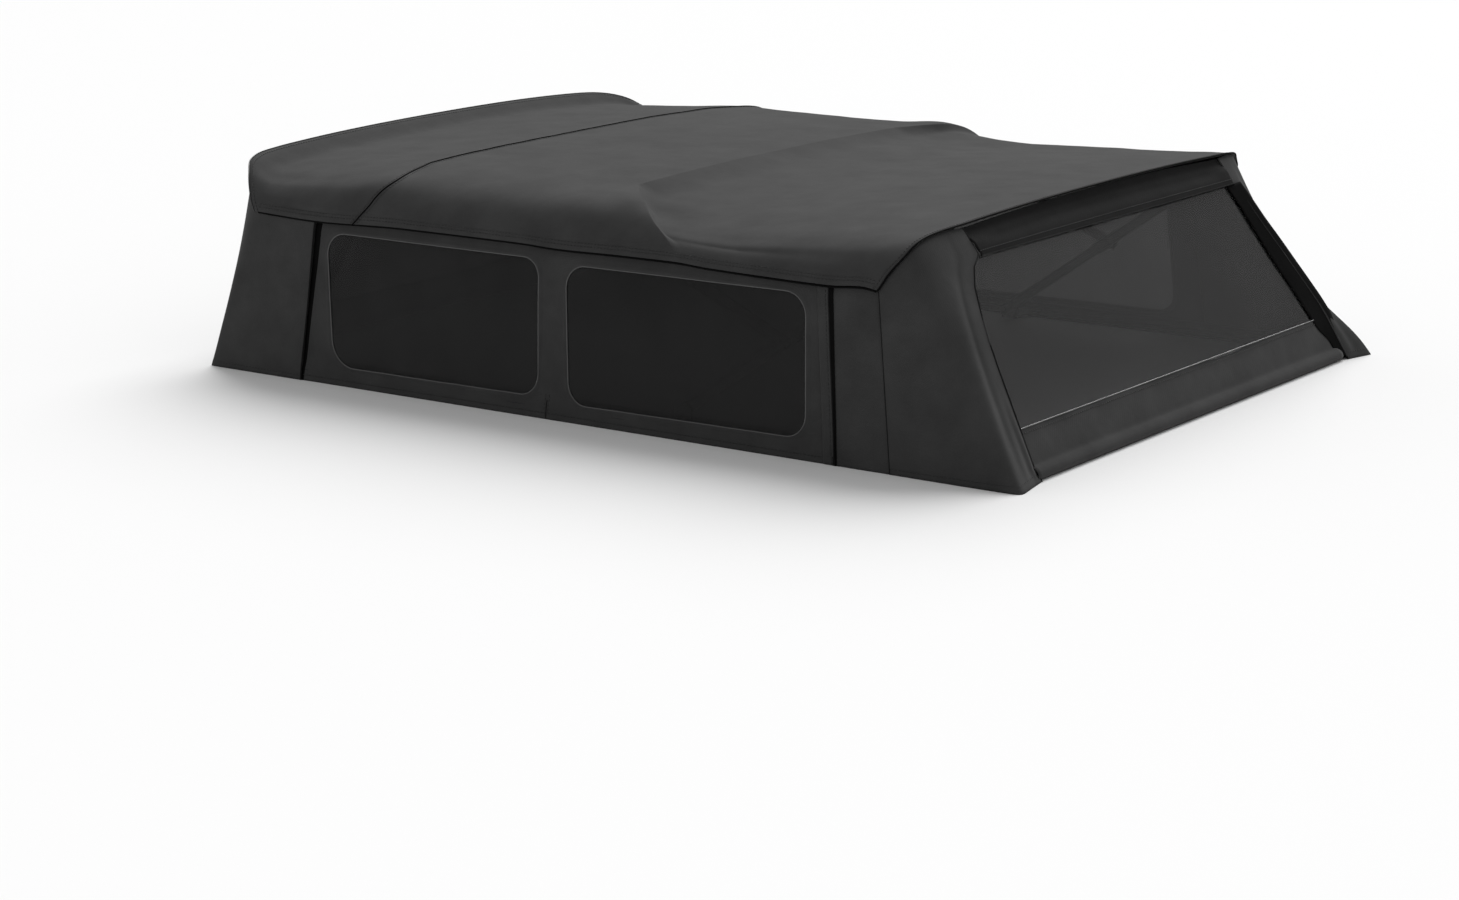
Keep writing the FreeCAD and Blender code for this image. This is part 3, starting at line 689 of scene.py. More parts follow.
@dataclass
class RoofForm:
    """The stretched roof over its four bows; lengths in mm."""

    front_x: float = -1099.0
    second_x: float = -640.0
    third_x: float = -60.0
    rear_x: float = 804.0
    top: float = 480.0
    crown: float = 14.0
    hem_half: float = 806.0
    front_dip: float = 24.0
    stations: tuple = (0.0, 0.24, 0.56, 1.0)
    # how deep the roof falls behind the third bow, and how soon, by distance from the hem
    rear_dip: tuple = ((0, 0), (20, 5), (45, 12), (80, 25), (130, 34), (200, 35), (320, 29),
                       (600, 20))
    rear_lowest: tuple = ((60, 0.045), (200, 0.045), (320, 0.085), (600, 0.12))
    # how much of that fall is steep; the rest is round and deepest at this share of the way
    rear_crisp: float = 0.62
    round_lowest: float = 0.32
    # where the roof is lowest between the first two bows, on the left and on the right
    front_lowest: tuple = (0.17, 0.14)
    # cloth stands this far up between the two middle bows
    middle_rise: float = 3.0
    # the right side is tighter: its crease runs less far back and its hollow comes sooner,
    # as shares of the left side's; then how deep the hollow is on either side
    right_run: float = 0.45
    right_soon: float = 0.85
    left_deep: float = 1.08
    right_deep: float = 0.60
    # the hem's sewn edge, and the width over which the cloth comes free of it
    sewn: float = 26.0
    free: float = 110.0
    # the sag points inwards at the hem and downwards this far from it
    turned: float = 95.0
    # unevenness ends this far inside the roof's front and rear ends
    end_grip: float = 60.0
    # how far a bow holds the section full
    bow_reach: float = 115.0
    # how the right rear corner is drawn in
    corner_pull: tuple = (-7, -44, -6)
    width_steps: int = 400
    # hem height along X
    hem: tuple = ((-969, 375), (-788, 370), (-524, 378), (-202, 379), (-83, 376), (79, 379),
                  (224, 380), (319, 376), (612, 372), (699, 378), (738, 373))
    # X of the roof's ends at distances from the hem
    rear_end: tuple = ((0, 738), (24, 753), (86, 789), (184, 799), (280, 804))
    front_end: tuple = ((0, -971), (24, -985), (86, -1024), (150, -1070), (220, -1094),
                        (300, -1099))
    # how far the creases over the two middle bows run back, by distance from the hem
    second_run: tuple = ((0, -32), (50, 14), (130, 40), (200, 26), (300, 0))
    third_run: tuple = ((0, 300), (48, 256), (100, 188), (184, 110), (245, 55), (320, 0))

    def __post_init__(self) -> None:
        """Measures how far each share of the width lies from the hem."""
        half = self.width_steps // 2
        run = [self.section(0.0, k / self.width_steps) for k in range(half + 1)]
        total = [0.0]
        for a, b in zip(run, run[1:]):
            total.append(total[-1] + (b - a).length)
        self._from_hem = total

    def from_hem(self, t: float) -> float:
        """Distance from the nearer hem at a share t of the width.

        Args:
            t: Share of the width, from the left hem.

        Returns:
            The distance along the section, in mm.
        """
        place = min(t, 1.0 - t) * self.width_steps
        k = min(int(place), self.width_steps // 2 - 1)
        return blend(self._from_hem[k], self._from_hem[k + 1], place - k)

    def share(self, distance: float, side: Side = Side.LEFT) -> float:
        """Share of the width at a distance from one side's hem.

        Args:
            distance: Distance along the section, in mm.
            side: The side whose hem it is measured from.

        Returns:
            The share, from the left hem.
        """
        k = next(n for n, value in enumerate(self._from_hem) if value >= distance)
        before = self._from_hem[max(k - 1, 0)]
        gap = max(self._from_hem[k] - before, 1e-9)
        t = (k - 1 + (distance - before) / gap) / self.width_steps
        return t if side is Side.LEFT else 1 - t

    def fullness(self, x: float) -> float:
        """1 over a bow and 0 between bows."""
        stations = (self.front_x, self.second_x, self.third_x + 20, self.rear_x)
        return max(bell(x, s, self.bow_reach) for s in stations)

    def section(self, x: float, t: float) -> Vector:
        """Cross-section of the roof, before any sag.

        Args:
            x: Station along the canopy.
            t: Share of the width, from the left hem.

        Returns:
            The point (0, y, z).
        """
        w = self.fullness(x)
        nose = ease((-x - 760) / 300)
        crown = self.crown + 6 * nose
        low = table(self.hem, x)
        half = [
            (350, self.top + crown * 0.85),
            (600 - 8 * nose, self.top + crown * 0.3),
            (702 + 8 * w - 6 * nose, 474 + 6 * w - 1 * nose),
            (764 + 10 * w - 4 * nose, 450 + 9 * w - 2 * nose),
            (793 + 4 * w, 410 + 4 * w),
            (self.hem_half - 4, low + 22),
            (self.hem_half, low),
        ]
        right = [Vector((0, y, z)) for y, z in half]
        left = [Vector((0, -y, z)) for y, z in reversed(half)]
        return spline([*left, Vector((0, 0, self.top + crown)), *right], t)

    def dip(self, q: float, lowest: float, crisp: float = 0.0) -> float:
        """Sag of cloth between two bows: deepest soon after the first one.

        Args:
            q: Share of the way from the first bow to the next.
            lowest: Share where the first, steep fall ends.
            crisp: How much of the sag the steep fall takes, 0 for a plain round sag.

        Returns:
            The sag as a share of the full one.
        """
        if q <= 0 or q >= 1:
            return 0.0
        if crisp:
            fall = crisp * math.sin(math.pi / 2 * min(q / lowest, 1.0))
            fall += (1 - crisp) * math.sin(math.pi / 2 * min(q / self.round_lowest, 1.0))
            return fall * min((1 - q) / (1 - self.round_lowest), 1.0) ** 1.1
        if q >= lowest:
            return ((1 - q) / (1 - lowest)) ** 1.1
        return ease(q / lowest) ** 0.8

    def second(self, s: float) -> float:
        """X of the seam over the second bow at a distance from the hem."""
        return self.second_x + table(self.second_run, s)

    def third(self, s: float, side: int) -> float:
        """X of the crease over the third bow at a distance from the hem."""
        return self.third_x + table(self.third_run, s) * (1.0 if side < 0 else self.right_run)

    def sag(self, x: float, s: float, side: int) -> float:
        """How far the cloth lies under the bows' line.

        Args:
            x: Station along the canopy.
            s: Distance from the hem.
            side: Sign of Y.

        Returns:
            The sag across the cloth's own face.
        """
        second, third = self.second(s), self.third(s, side)
        front, rear = table(self.front_end, s), table(self.rear_end, s)
        free = ease((s - self.sewn) / self.free)
        sag = free * self.front_dip * self.dip((x - front) / max(second - front, 1),
                                               self.front_lowest[side > 0])
        deep, soon = self.left_deep, table(self.rear_lowest, s)
        if side > 0:
            deep = blend(1.0, self.right_deep, ease((330 - s) / 160))
            soon *= self.right_soon
        q = (x - third) / max(rear - third, 1)
        sag += deep * table(self.rear_dip, s) * self.dip(q, soon, self.rear_crisp)
        middle = min(max((x - second) / (third - second), 0.0), 1.0)
        return sag - self.middle_rise * math.sin(math.pi * middle) * free

    def hem_crease(self, x: float, s: float) -> float:
        """How far the cloth is drawn in along the hem's sewn edge.

        Args:
            x: Station along the canopy.
            s: Distance from the hem.

        Returns:
            The way inwards, in mm.
        """
        ahead = bell(x, -830, 130) + 0.8 * bell(x, 120, 130)
        if x < self.second_x:
            line, width = self.sewn + 4 - 0.08 * (x + 960), 9
        else:
            line, width = self.sewn, 11
        return (1.2 + 3.0 * ahead) * bell(s, line, width)

    def pull(self, x: float, s: float, side: int) -> Vector:
        """How far the third bow's knuckle and the rear corners draw the cloth.

        Args:
            x: Station along the canopy.
            s: Distance from the hem.
            side: Sign of Y.

        Returns:
            The way in mm.
        """
        third = self.third(s, side)
        drawn = Vector((0, side * 3, 5)) * bell(x, third - 34, 46) * bell(s, 160, 80)
        if side < 0:
            hollow = bell(x, third + 60, 85) * bell(s, 190, 75)
            drawn.z -= 9 * hollow * ease((x - third) / 40)
        else:
            drawn += Vector(self.corner_pull) * ease((x - 500) / 280) * bell(s, 82, 74)
        return drawn

    def point(self, x: float, t: float) -> Vector:
        """Point of the finished roof.

        Args:
            x: Station along the canopy.
            t: Share of the width, from the left hem.

        Returns:
            The point in mm.
        """
        s = self.from_hem(t)
        side = -1 if t < 0.5 else 1
        spot = self.section(x, t)
        spot.x = x
        sag = self.sag(x, s, side)
        lie = math.pi / 2 * ease((s - 5) / (self.turned - 5))
        spot.z -= sag * math.sin(lie)
        spot.y -= side * sag * math.cos(lie)
        front, rear = table(self.front_end, s), table(self.rear_end, s)
        shut = ease((x - front - 8) / self.end_grip) * ease((rear - 8 - x) / self.end_grip)
        spot.y -= side * self.hem_crease(x, s) * shut
        grip = ease((s - self.sewn) / self.free) * shut
        spot.z += 1.5 * ripple(x, spot.y, 0, 190, 3.1) * grip
        spot.z += 0.7 * ripple(x, spot.y, 0, 62, 8.7) * grip
        return spot + self.pull(x, s, side)

    def sheet(self, u: float, v: float) -> Vector:
        """The roof as one sheet, with rows along the middle bows' seam and crease.

        Args:
            u: Share from front to rear.
            v: Share from left to right.

        Returns:
            The point in mm.
        """
        s = self.from_hem(v)
        side = -1 if v < 0.5 else 1
        marks = (table(self.front_end, s), self.second(s), self.third(s, side),
                 table(self.rear_end, s))
        k = 0 if u < self.stations[1] else 1 if u < self.stations[2] else 2
        f = (u - self.stations[k]) / (self.stations[k + 1] - self.stations[k])
        f = (f**0.85, 1 - (1 - f) ** 1.3, f**1.45)[k]
        return self.point(blend(marks[k], marks[k + 1], f), v)

    def edge(self, distance: float, rear: bool, inset: float = 0.0,
             side: Side = Side.LEFT) -> Vector:
        """Point of the roof's front or rear edge, drawn in, as if it were on the left.

        Args:
            distance: Distance from the hem.
            rear: The rear edge, else the front one.
            inset: How far the point is drawn in under the roof.
            side: The side whose edge it is.

        Returns:
            The point in mm.
        """
        ends = self.rear_end if rear else self.front_end
        spot = self.point(table(ends, distance) + (-inset if rear else inset),
                          self.share(distance, side))
        spot.y = -abs(spot.y)
        middle = Vector((spot.x, -560.0, 300.0))
        return spot + (middle - spot).normalized() * inset


def flip_y(point: Vector, side: Side) -> Vector:
    """A point made for the left side, on the side asked for."""
    return Vector((point.x, point.y * -side.value, point.z))


@dataclass
class SideForm:
    """One long side, leaning in from the rail to the eave; lengths in mm."""

    side: Side
    foot_half: float = 839.0
    eave_half: float = 800.0
    eave: float = 372.0
    top: float = 388.0
    tuck: float = 4.0
    # how far the cloth lies inside that line, and its slow and quick waves: height, length
    inset: float = 1.2
    slow: tuple[float, float] = (2.2, 210.0)
    quick: tuple[float, float] = (1.2, 70.0)
    front_flap: tuple[float, float] = (-811.0, -787.0)
    rear_flap: tuple[float, float] = (656.0, 612.0)
    seam: tuple[float, float] = (792.0, 736.0)

    def point(self, x: float, z: float, out: float = 0.0) -> Vector:
        """Point of the side's face.

        Args:
            x: Station along the canopy.
            z: Height over the rail's foot.
            out: How far it is moved outwards.

        Returns:
            The point in mm.
        """
        y = self.foot_half - z * (self.foot_half - self.eave_half) / self.eave
        y -= self.tuck * ease((z - self.eave + 26) / 30)
        wave = self.slow[0] * ripple(x, self.side.value * 40, z, self.slow[1], 5.5)
        wave += self.quick[0] * ripple(x, 0, z * 0.4, self.quick[1], 9.2)
        wave *= ease(z / 40) * ease((self.eave + 30 - z) / 60)
        return flip_y(Vector((x, -(y + out + wave - self.inset), z)), self.side)

    def lean(self, pair: tuple[float, float], z: float) -> float:
        """X of a line that runs from its foot to the eave."""
        return blend(pair[0], pair[1], z / self.eave)


@dataclass
class CornerForm:
    """A corner sheet that wraps from the side to an end of the canopy; lengths in mm.

    Its foot follows the rail round the corner and its head lies under the roof's edge.
    """

    side: Side
    foot: Sequence[Vector]
    head: Sequence[Vector]
    inner: Sequence[Vector] = ()
    # how far the sheet's middle swells out, and how deep the tuck beside its edge is
    bulge: float = 0.0
    bulge_at: float = 0.55
    bulge_width: float = 0.27
    fold: float = 0.0
    fold_at: float = 0.71
    fold_width: float = 0.07
    # the swelling sets in over this share of the height, so that the foot stays on its rail
    calm: float = 0.27
    # small pleats near the free edge: height, place across and width
    pleats: tuple[float, float, float] = (3.2, 0.86, 0.12)
    waves: tuple[float, float] = (3.0, 120.0)
    seed: float = 0.0

    def place(self, u: float, v: float) -> Vector:
        """Point of the corner sheet.

        Args:
            u: Share of the way from the side seam to the inner edge.
            v: Share of the way from foot to head.

        Returns:
            The point in mm.
        """
        foot, head = spline(self.foot, u), spline(self.head, u)
        spot = foot.lerp(head, v)
        if self.inner:
            held = along(self.inner, v)
            chord = self.foot[-1].lerp(self.head[-1], v)
            spot += (held - chord) * ease((u - 0.45) / 0.55)
        away = Vector((spot.x, spot.y, 0)) - Vector((foot.x * 0.72, -560.0, 0))
        away.normalize()
        hump = math.sin(math.pi * min(max(v, 0), 1)) ** 0.8 * ease(v / self.calm)
        swell = self.bulge * hump * bell(u, self.bulge_at, self.bulge_width)
        swell -= self.fold * ease(v / 0.25) * bell(u, self.fold_at, self.fold_width)
        soft = ease(v / 0.08) * ease((1 - v) / 0.08) * ease((1 - u) / 0.05)
        height, length = self.waves
        swell += height * ripple(spot.x, spot.y, spot.z * 0.5, length, self.seed) * soft
        pleat = math.sin(u * 46 + 4 * ripple(u * 300, 0, 0, 90, self.seed))
        height, middle, width = self.pleats
        swell += height * pleat * bell(u, middle, width) * ease((0.42 - v) / 0.4) * ease(v / 0.05)
        return flip_y(spot + away * swell, self.side)


@dataclass
class RoofCover:
    """The roof sheet with its piping, its seam over the second bow and its stitching."""

    form: RoofForm
    across: int = 150
    lengthwise: int = 190
    piping: float = 2.1
    front_bead: float = 1.3
    welt: float = 1.7
    # radius of the hem binding, whose near-black colour is painted shadow under the hem
    binding: float = 2.6
    hem_row: float = 11.0
    flat: tuple[float, float] = (1.905, 1.80)

    def line(self, station: Callable[[float], float], count: int, lift: float,
             start: float = 0.0, end: float = 1.0) -> list[Vector]:
        """Points over the roof from left to right, at a station that may vary.

        Args:
            station: X by distance from the hem.
            count: Steps over the roof.
            lift: How far the line stands off the cloth.
            start: Share of the width where it starts.
            end: Share of the width where it ends.

        Returns:
            The line's points in mm.
        """
        points = []
        for f in shares(count):
            t = blend(start, end, f)
            x = station(self.form.from_hem(t))
            here = self.form.point(x, t)
            before = self.form.point(x, max(t - 0.003, 0.0))
            after = self.form.point(x, min(t + 0.003, 1.0))
            up = Vector((0, -(after - before).z, (after - before).y)).normalized()
            points.append(here + up * lift)
        return points

    def build(self, finishes: Finishes) -> None:
        """Makes the roof's pieces.

        Args:
            finishes: The canopy's finishes.
        """
        form = self.form
        cover = grid_sheet("roof_cover", self.lengthwise, self.across, form.sheet,
                           (self.flat[0] * 1000, self.flat[1] * 1000))
        thicken(cover, CLOTH_MM)
        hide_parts("front_deck", "middle_deck", "rear_deck")
        pieces = [
            cord_mesh("rear_edge_piping", self.line(
                lambda s: table(form.rear_end, s), 150, 0.5), self.piping),
            cord_mesh("front_edge_piping", self.line(
                lambda s: table(form.front_end, s), 150, 0.5), self.front_bead),
            cord_mesh("second_bow_welt", self.line(form.second, 190, 0.7), self.welt),
        ]
        # a cord under each hem: a real binding, coloured near black as painted shadow of the hem's
        # overhang
        for side in Side:
            t = form.share(1.0, side)
            pieces.append(cord_mesh("hem_binding_" + side.word, [
                form.point(blend(-960, 732, k / 120), t)
                + Vector((0, -side.value * 3.0, -3.2 - 1.6 * ease((k - 40) / 70)))
                for k in range(121)], self.binding))
        rows = []
        for row in (self.hem_row, self.hem_row + 7):
            for side in Side:
                t = form.share(row, side)
                rows.append([form.point(blend(-960, 730, f), t)
                             + Vector((0, side.value * 0.5, 0)) for f in shares(80)])
        for shift in (-9.0, 9.0):
            rows.append(self.line(lambda s, d=shift: form.second(s) + d, 120, 0.5, 0.01, 0.99))
        rows.append(self.line(lambda s: table(form.rear_end, s) - 12, 120, 0.5, 0.01, 0.99))
        rows.append(self.line(lambda s: table(form.front_end, s) + 12, 120, 0.5, 0.01, 0.99))
        sewn = stitches("roof_stitching", rows)
        finish(cover, finishes.cloth)
        for piece in pieces:
            # the hem bindings' near black is painted shadow under the hem; the welt and the rear
            # piping are dark joints
            dark = piece.name.startswith(("hem_binding", "second_bow", "rear_edge"))
            finish(piece, finishes.tape if dark else finishes.vinyl)
        finish(sewn, finishes.thread)


@dataclass(frozen=True)
class WindowShape:
    """A window's opening: a four-sided shape with round corners; lengths in mm.

    Corners run from the low front one, by the low rear and high rear, to the high front.
    """

    corners: tuple[tuple[float, float], ...]
    bends: tuple[float, ...]
    steps: int = 9

    def outline(self, grow: float = 0.0) -> list[Vector]:
        """Points round the opening, grown outwards, as (a, b, 0) from its low front corner.

        Args:
            grow: How far the line is moved outwards.

        Returns:
            The same number of points on each side and in each corner.
        """
        points = []
        count = len(self.corners)
        for k in range(count):
            corner = Vector((*self.corners[k], 0))
            before = (Vector((*self.corners[k - 1], 0)) - corner).normalized()
            after = (Vector((*self.corners[(k + 1) % count], 0)) - corner).normalized()
            half = before.angle(after) / 2
            reach = self.bends[k] / math.tan(half)
            centre = corner + (before + after).normalized() * (self.bends[k] / math.sin(half))
            start = corner + before * reach - centre
            end = corner + after * reach - centre
            for j in range(self.steps + 1):
                spoke = start.lerp(end, j / self.steps).normalized() * (self.bends[k] + grow)
                points.append(centre + spoke)
        return points

    @cached_property
    def edge(self) -> list[Vector]:
        """The opening's own outline."""
        return self.outline()

    def ring(self, border: Sequence[Vector], u: float, v: float) -> tuple[Vector, float]:
        """Place in the cloth between the opening and its border.

        Args:
            border: The cloth's four corners, in the order of the opening's.
            u: Way round the opening.
            v: Share of the way from the opening to the border.

        Returns:
            The point as (a, b, 0) and its distance from the opening.
        """
        n = self.steps + 1
        turn = (u % 1.0) * len(border)
        k, local = int(turn), turn - int(turn)
        run = [self.edge[(k * n + n // 2 + j) % len(self.edge)] for j in range(n + 1)]
        inner = along(run, local)
        spot = inner.lerp(border[k].lerp(border[(k + 1) % len(border)], local), v)
        return spot, (spot - inner).length

    def beading(self) -> list[Vector]:
        """The line of the welded edge round the opening, in steps of about 12 mm.

        Returns:
            The points as (a, b, 0).
        """
        line = self.outline(1.5)
        fine = []
        for a, b in zip(line, [*line[1:], line[0]]):
            steps = max(int((b - a).length / 12), 1)
            fine += [a.lerp(b, k / steps) for k in range(steps)]
        return fine


FRONT_SIDE_WINDOW = WindowShape(((-716, 44), (-128, 47), (-146, 346), (-757, 344)),
                                (66, 46, 42, 46))
REAR_SIDE_WINDOW = WindowShape(((-40, 41), (576, 46), (556, 346), (-68, 341)),
                               (50, 44, 52, 46))
FRONT_WINDOW = WindowShape(((-480, 90), (480, 90), (480, 340), (-480, 340)), (45, 45, 45, 45))


@dataclass
class Curtain:
    """A side curtain with its two windows, zipped in between the flaps."""

    form: SideForm
    recess: float = 3.5
    pillar: float = -98.0
    strip: float = 27.0
    film_bend: float = 40.0

    def sunk(self, z: float) -> float:
        """How far the curtain lies behind the flaps at a height: little over the rail."""
        return blend(0.6, self.recess, ease((z - 24) / 30))

    def cell(self, window: WindowShape, foot: tuple[float, float],
             head: tuple[float, float], name: str) -> bpy.types.Object:
        """The cloth round one window, as a ring from the opening to the cell's border.

        Args:
            window: The opening.
            foot: X of the cell's front and rear borders at the foot.
            head: The same at the eave.
            name: The piece's name.

        Returns:
            The ring as an object.
        """
        form = self.form
        border = [Vector((foot[0], 0, 0)), Vector((foot[1], 0, 0)),
                  Vector((head[1], form.top, 0)), Vector((head[0], form.top, 0))]

        def place(u: float, v: float) -> Vector:
            """Point of the ring.

            Args:
                u: Way round the opening.
                v: Way out to the border.

            Returns:
                The point in mm.
            """
            spot, gap = window.ring(border, u, v ** 1.25)
            return form.point(spot.x, spot.y, 2.2 * bell(gap, 7, 5) - self.sunk(spot.y))

        return grid_sheet(name, 200, 16, place, (1500, 60), closed=True,
                          flip=form.side is Side.LEFT)

    def pane(self, window: WindowShape, name: str) -> bpy.types.Object:
        """The clear film behind one opening, welded to the cloth all round.

        Args:
            window: The opening.
            name: The pane's name.

        Returns:
            The pane.
        """
        form, bend = self.form, self.film_bend
        low_front, low_rear, high_rear, high_front = window.corners

        def place(u: float, v: float) -> Vector:
            """Point of the film, with round corners and a little belly.

            Args:
                u: Share across the sheet.
                v: Share up the sheet.

            Returns:
                The point in mm.
            """
            z_low = blend(low_front[1], low_rear[1], u) - 8
            z_high = blend(high_front[1], high_rear[1], u) + 8
            z = blend(z_low, z_high, v)
            front = blend(low_front[0], high_front[0], v) - 8
            rear = blend(low_rear[0], high_rear[0], v) + 8
            near = max(abs(v - 0.5) * (z_high - z_low) - (z_high - z_low) / 2 + bend, 0)
            tuck = bend - math.sqrt(max(bend * bend - near * near, 0.0))
            x = blend(front + tuck, rear - tuck, u)
            belly = 1.8 * math.sin(math.pi * u) * math.sin(math.pi * v)
            return form.point(x, z, belly - self.sunk(z) - 1.6)

        return grid_sheet(name, 60, 32, place, (600, 310), flip=form.side is Side.LEFT)

    def band(self, name: str, flap: tuple[float, float], near: tuple[float, float],
             far: tuple[float, float], out: Callable[[float, float], float],
             steps: int = 4) -> bpy.types.Object:
        """A strip of cloth or tape that runs down beside a flap.

        Args:
            A strip of cloth, or a near-black strip of painted shadow, that runs down beside a flap.
            flap: The flap's line, as X at its foot and at the eave.
            near: Where the strip starts from that line, at the foot and at the eave.
            far: Where it ends.
            out: How far it stands out, by share across and height.
            steps: Faces across.

        Returns:
            The strip as an object.
        """
        form = self.form

        def place(u: float, v: float) -> Vector:
            """Point of the strip.

            Args:
                u: Share across the sheet.
                v: Share up the sheet.

            Returns:
                The point in mm.
            """
            z = v * (form.top - 8)
            share = z / form.eave
            offset = blend(blend(near[0], near[1], share), blend(far[0], far[1], share), u)
            return form.point(form.lean(flap, z) + offset, z, out(u, z))

        return grid_sheet(name, steps, 60, place, (abs(far[1] - near[1]), form.top),
                          flip=form.side is not Side.LEFT)

    def closures(self, finishes: Finishes) -> list[bpy.types.Object]:
        """The strip that covers the rear closure, and the near-black strips of painted shadow in
        both gaps.

        Args:
            finishes: The canopy's finishes.

        Returns:
            The covering strip and the two painted-shadow strips.
        """
        form, word = self.form, self.form.side.word
        strip = self.band("rear_flap_strip_" + word, form.rear_flap,
                          (-self.strip, -self.strip), (0.0, 0.0),
                          lambda u, z: 0.9 + 1.6 * ease(u * 3) * ease(z / 40), 10)
        thicken(strip, STRIP_MM)
        # the two near-black strips in the flaps' gaps are painted shadow
        ahead = self.band("front_closure_tape_" + word, form.front_flap, (-3.0, -3.0),
                          (5.0, 15.0), lambda u, z: 0.5 - self.sunk(z))
        behind = self.band("rear_closure_tape_" + word, form.rear_flap, (-3.0, -3.0),
                           (6.5, 13.0), lambda u, z: 1.6)
        finish(strip, finishes.cloth)
        for tape in (ahead, behind):
            thicken(tape, SHADOW_STRIP_MM)
            finish(tape, finishes.tape)
        return [strip, ahead, behind]

    def bead(self, window: WindowShape, name: str) -> bpy.types.Object:
        """The welded edge that stands up round the opening.

        Args:
            window: The opening.
            name: The bead's name.

        Returns:
            The bead.
        """
        line = window.beading()
        return cord_mesh(name, [self.form.point(p.x, p.y, 0.8 - self.sunk(p.y)) for p in line],
                         1.3, closed=True)

    def build(self, finishes: Finishes) -> None:
        """Makes the curtain's pieces.

        Args:
            finishes: The canopy's finishes.
        """
        form, word = self.form, self.form.side.word
        front = (form.front_flap[0] - 8, form.lean(form.front_flap, form.top) - 8)
        rear = (form.rear_flap[0] + 8, form.lean(form.rear_flap, form.top) + 8)
        first = self.cell(FRONT_SIDE_WINDOW, (front[0], self.pillar - 4),
                          (front[1], self.pillar - 12), "front_half")
        second = self.cell(REAR_SIDE_WINDOW, (self.pillar - 4, rear[0]),
                           (self.pillar - 12, rear[1]), "rear_half")
        work = bmesh.new()
        work.from_mesh(first.data)
        work.from_mesh(second.data)
        bmesh.ops.remove_doubles(work, verts=work.verts, dist=1e-5)
        for part in (first, second):
            bpy.data.objects.remove(part)
        cloth = new_piece("side_curtain_cloth_" + word, work)
        thicken(cloth, CLOTH_MM)
        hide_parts("side_curtain_" + word)
        finish(cloth, finishes.cloth)
        for window, stem in ((FRONT_SIDE_WINDOW, "front"), (REAR_SIDE_WINDOW, "rear")):
            pane = self.pane(window, stem + "_side_film_" + word)
            thicken(pane, FILM_MM)
            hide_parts(stem + "_side_window_" + word)
            finish(pane, finishes.side_film)
            # the bead's light grey is partly a painted highlight
            bead = self.bead(window, stem + "_window_edge_" + word)
            finish(bead, finishes.weld)
        rows = [[form.point(self.pillar - 3 + side * 5, z, 0.4 - self.sunk(z))
                 for z in range(8, 60, 8)] for side in (-1, 1)]
        rows.append([form.point(blend(form.front_flap[0], form.rear_flap[0], f), 13,
                                0.4 - self.sunk(13)) for f in shares(90)])
        sewn = finish(stitches("side_curtain_stitching_" + word, rows), finishes.thread)
        seam = finish(cord_mesh("side_pillar_seam_" + word, [
            form.point(self.pillar - 3, z, 0.2 - self.sunk(z)) for z in range(1, 42, 4)], 1.1),
            finishes.seam)
        self.closures(finishes)


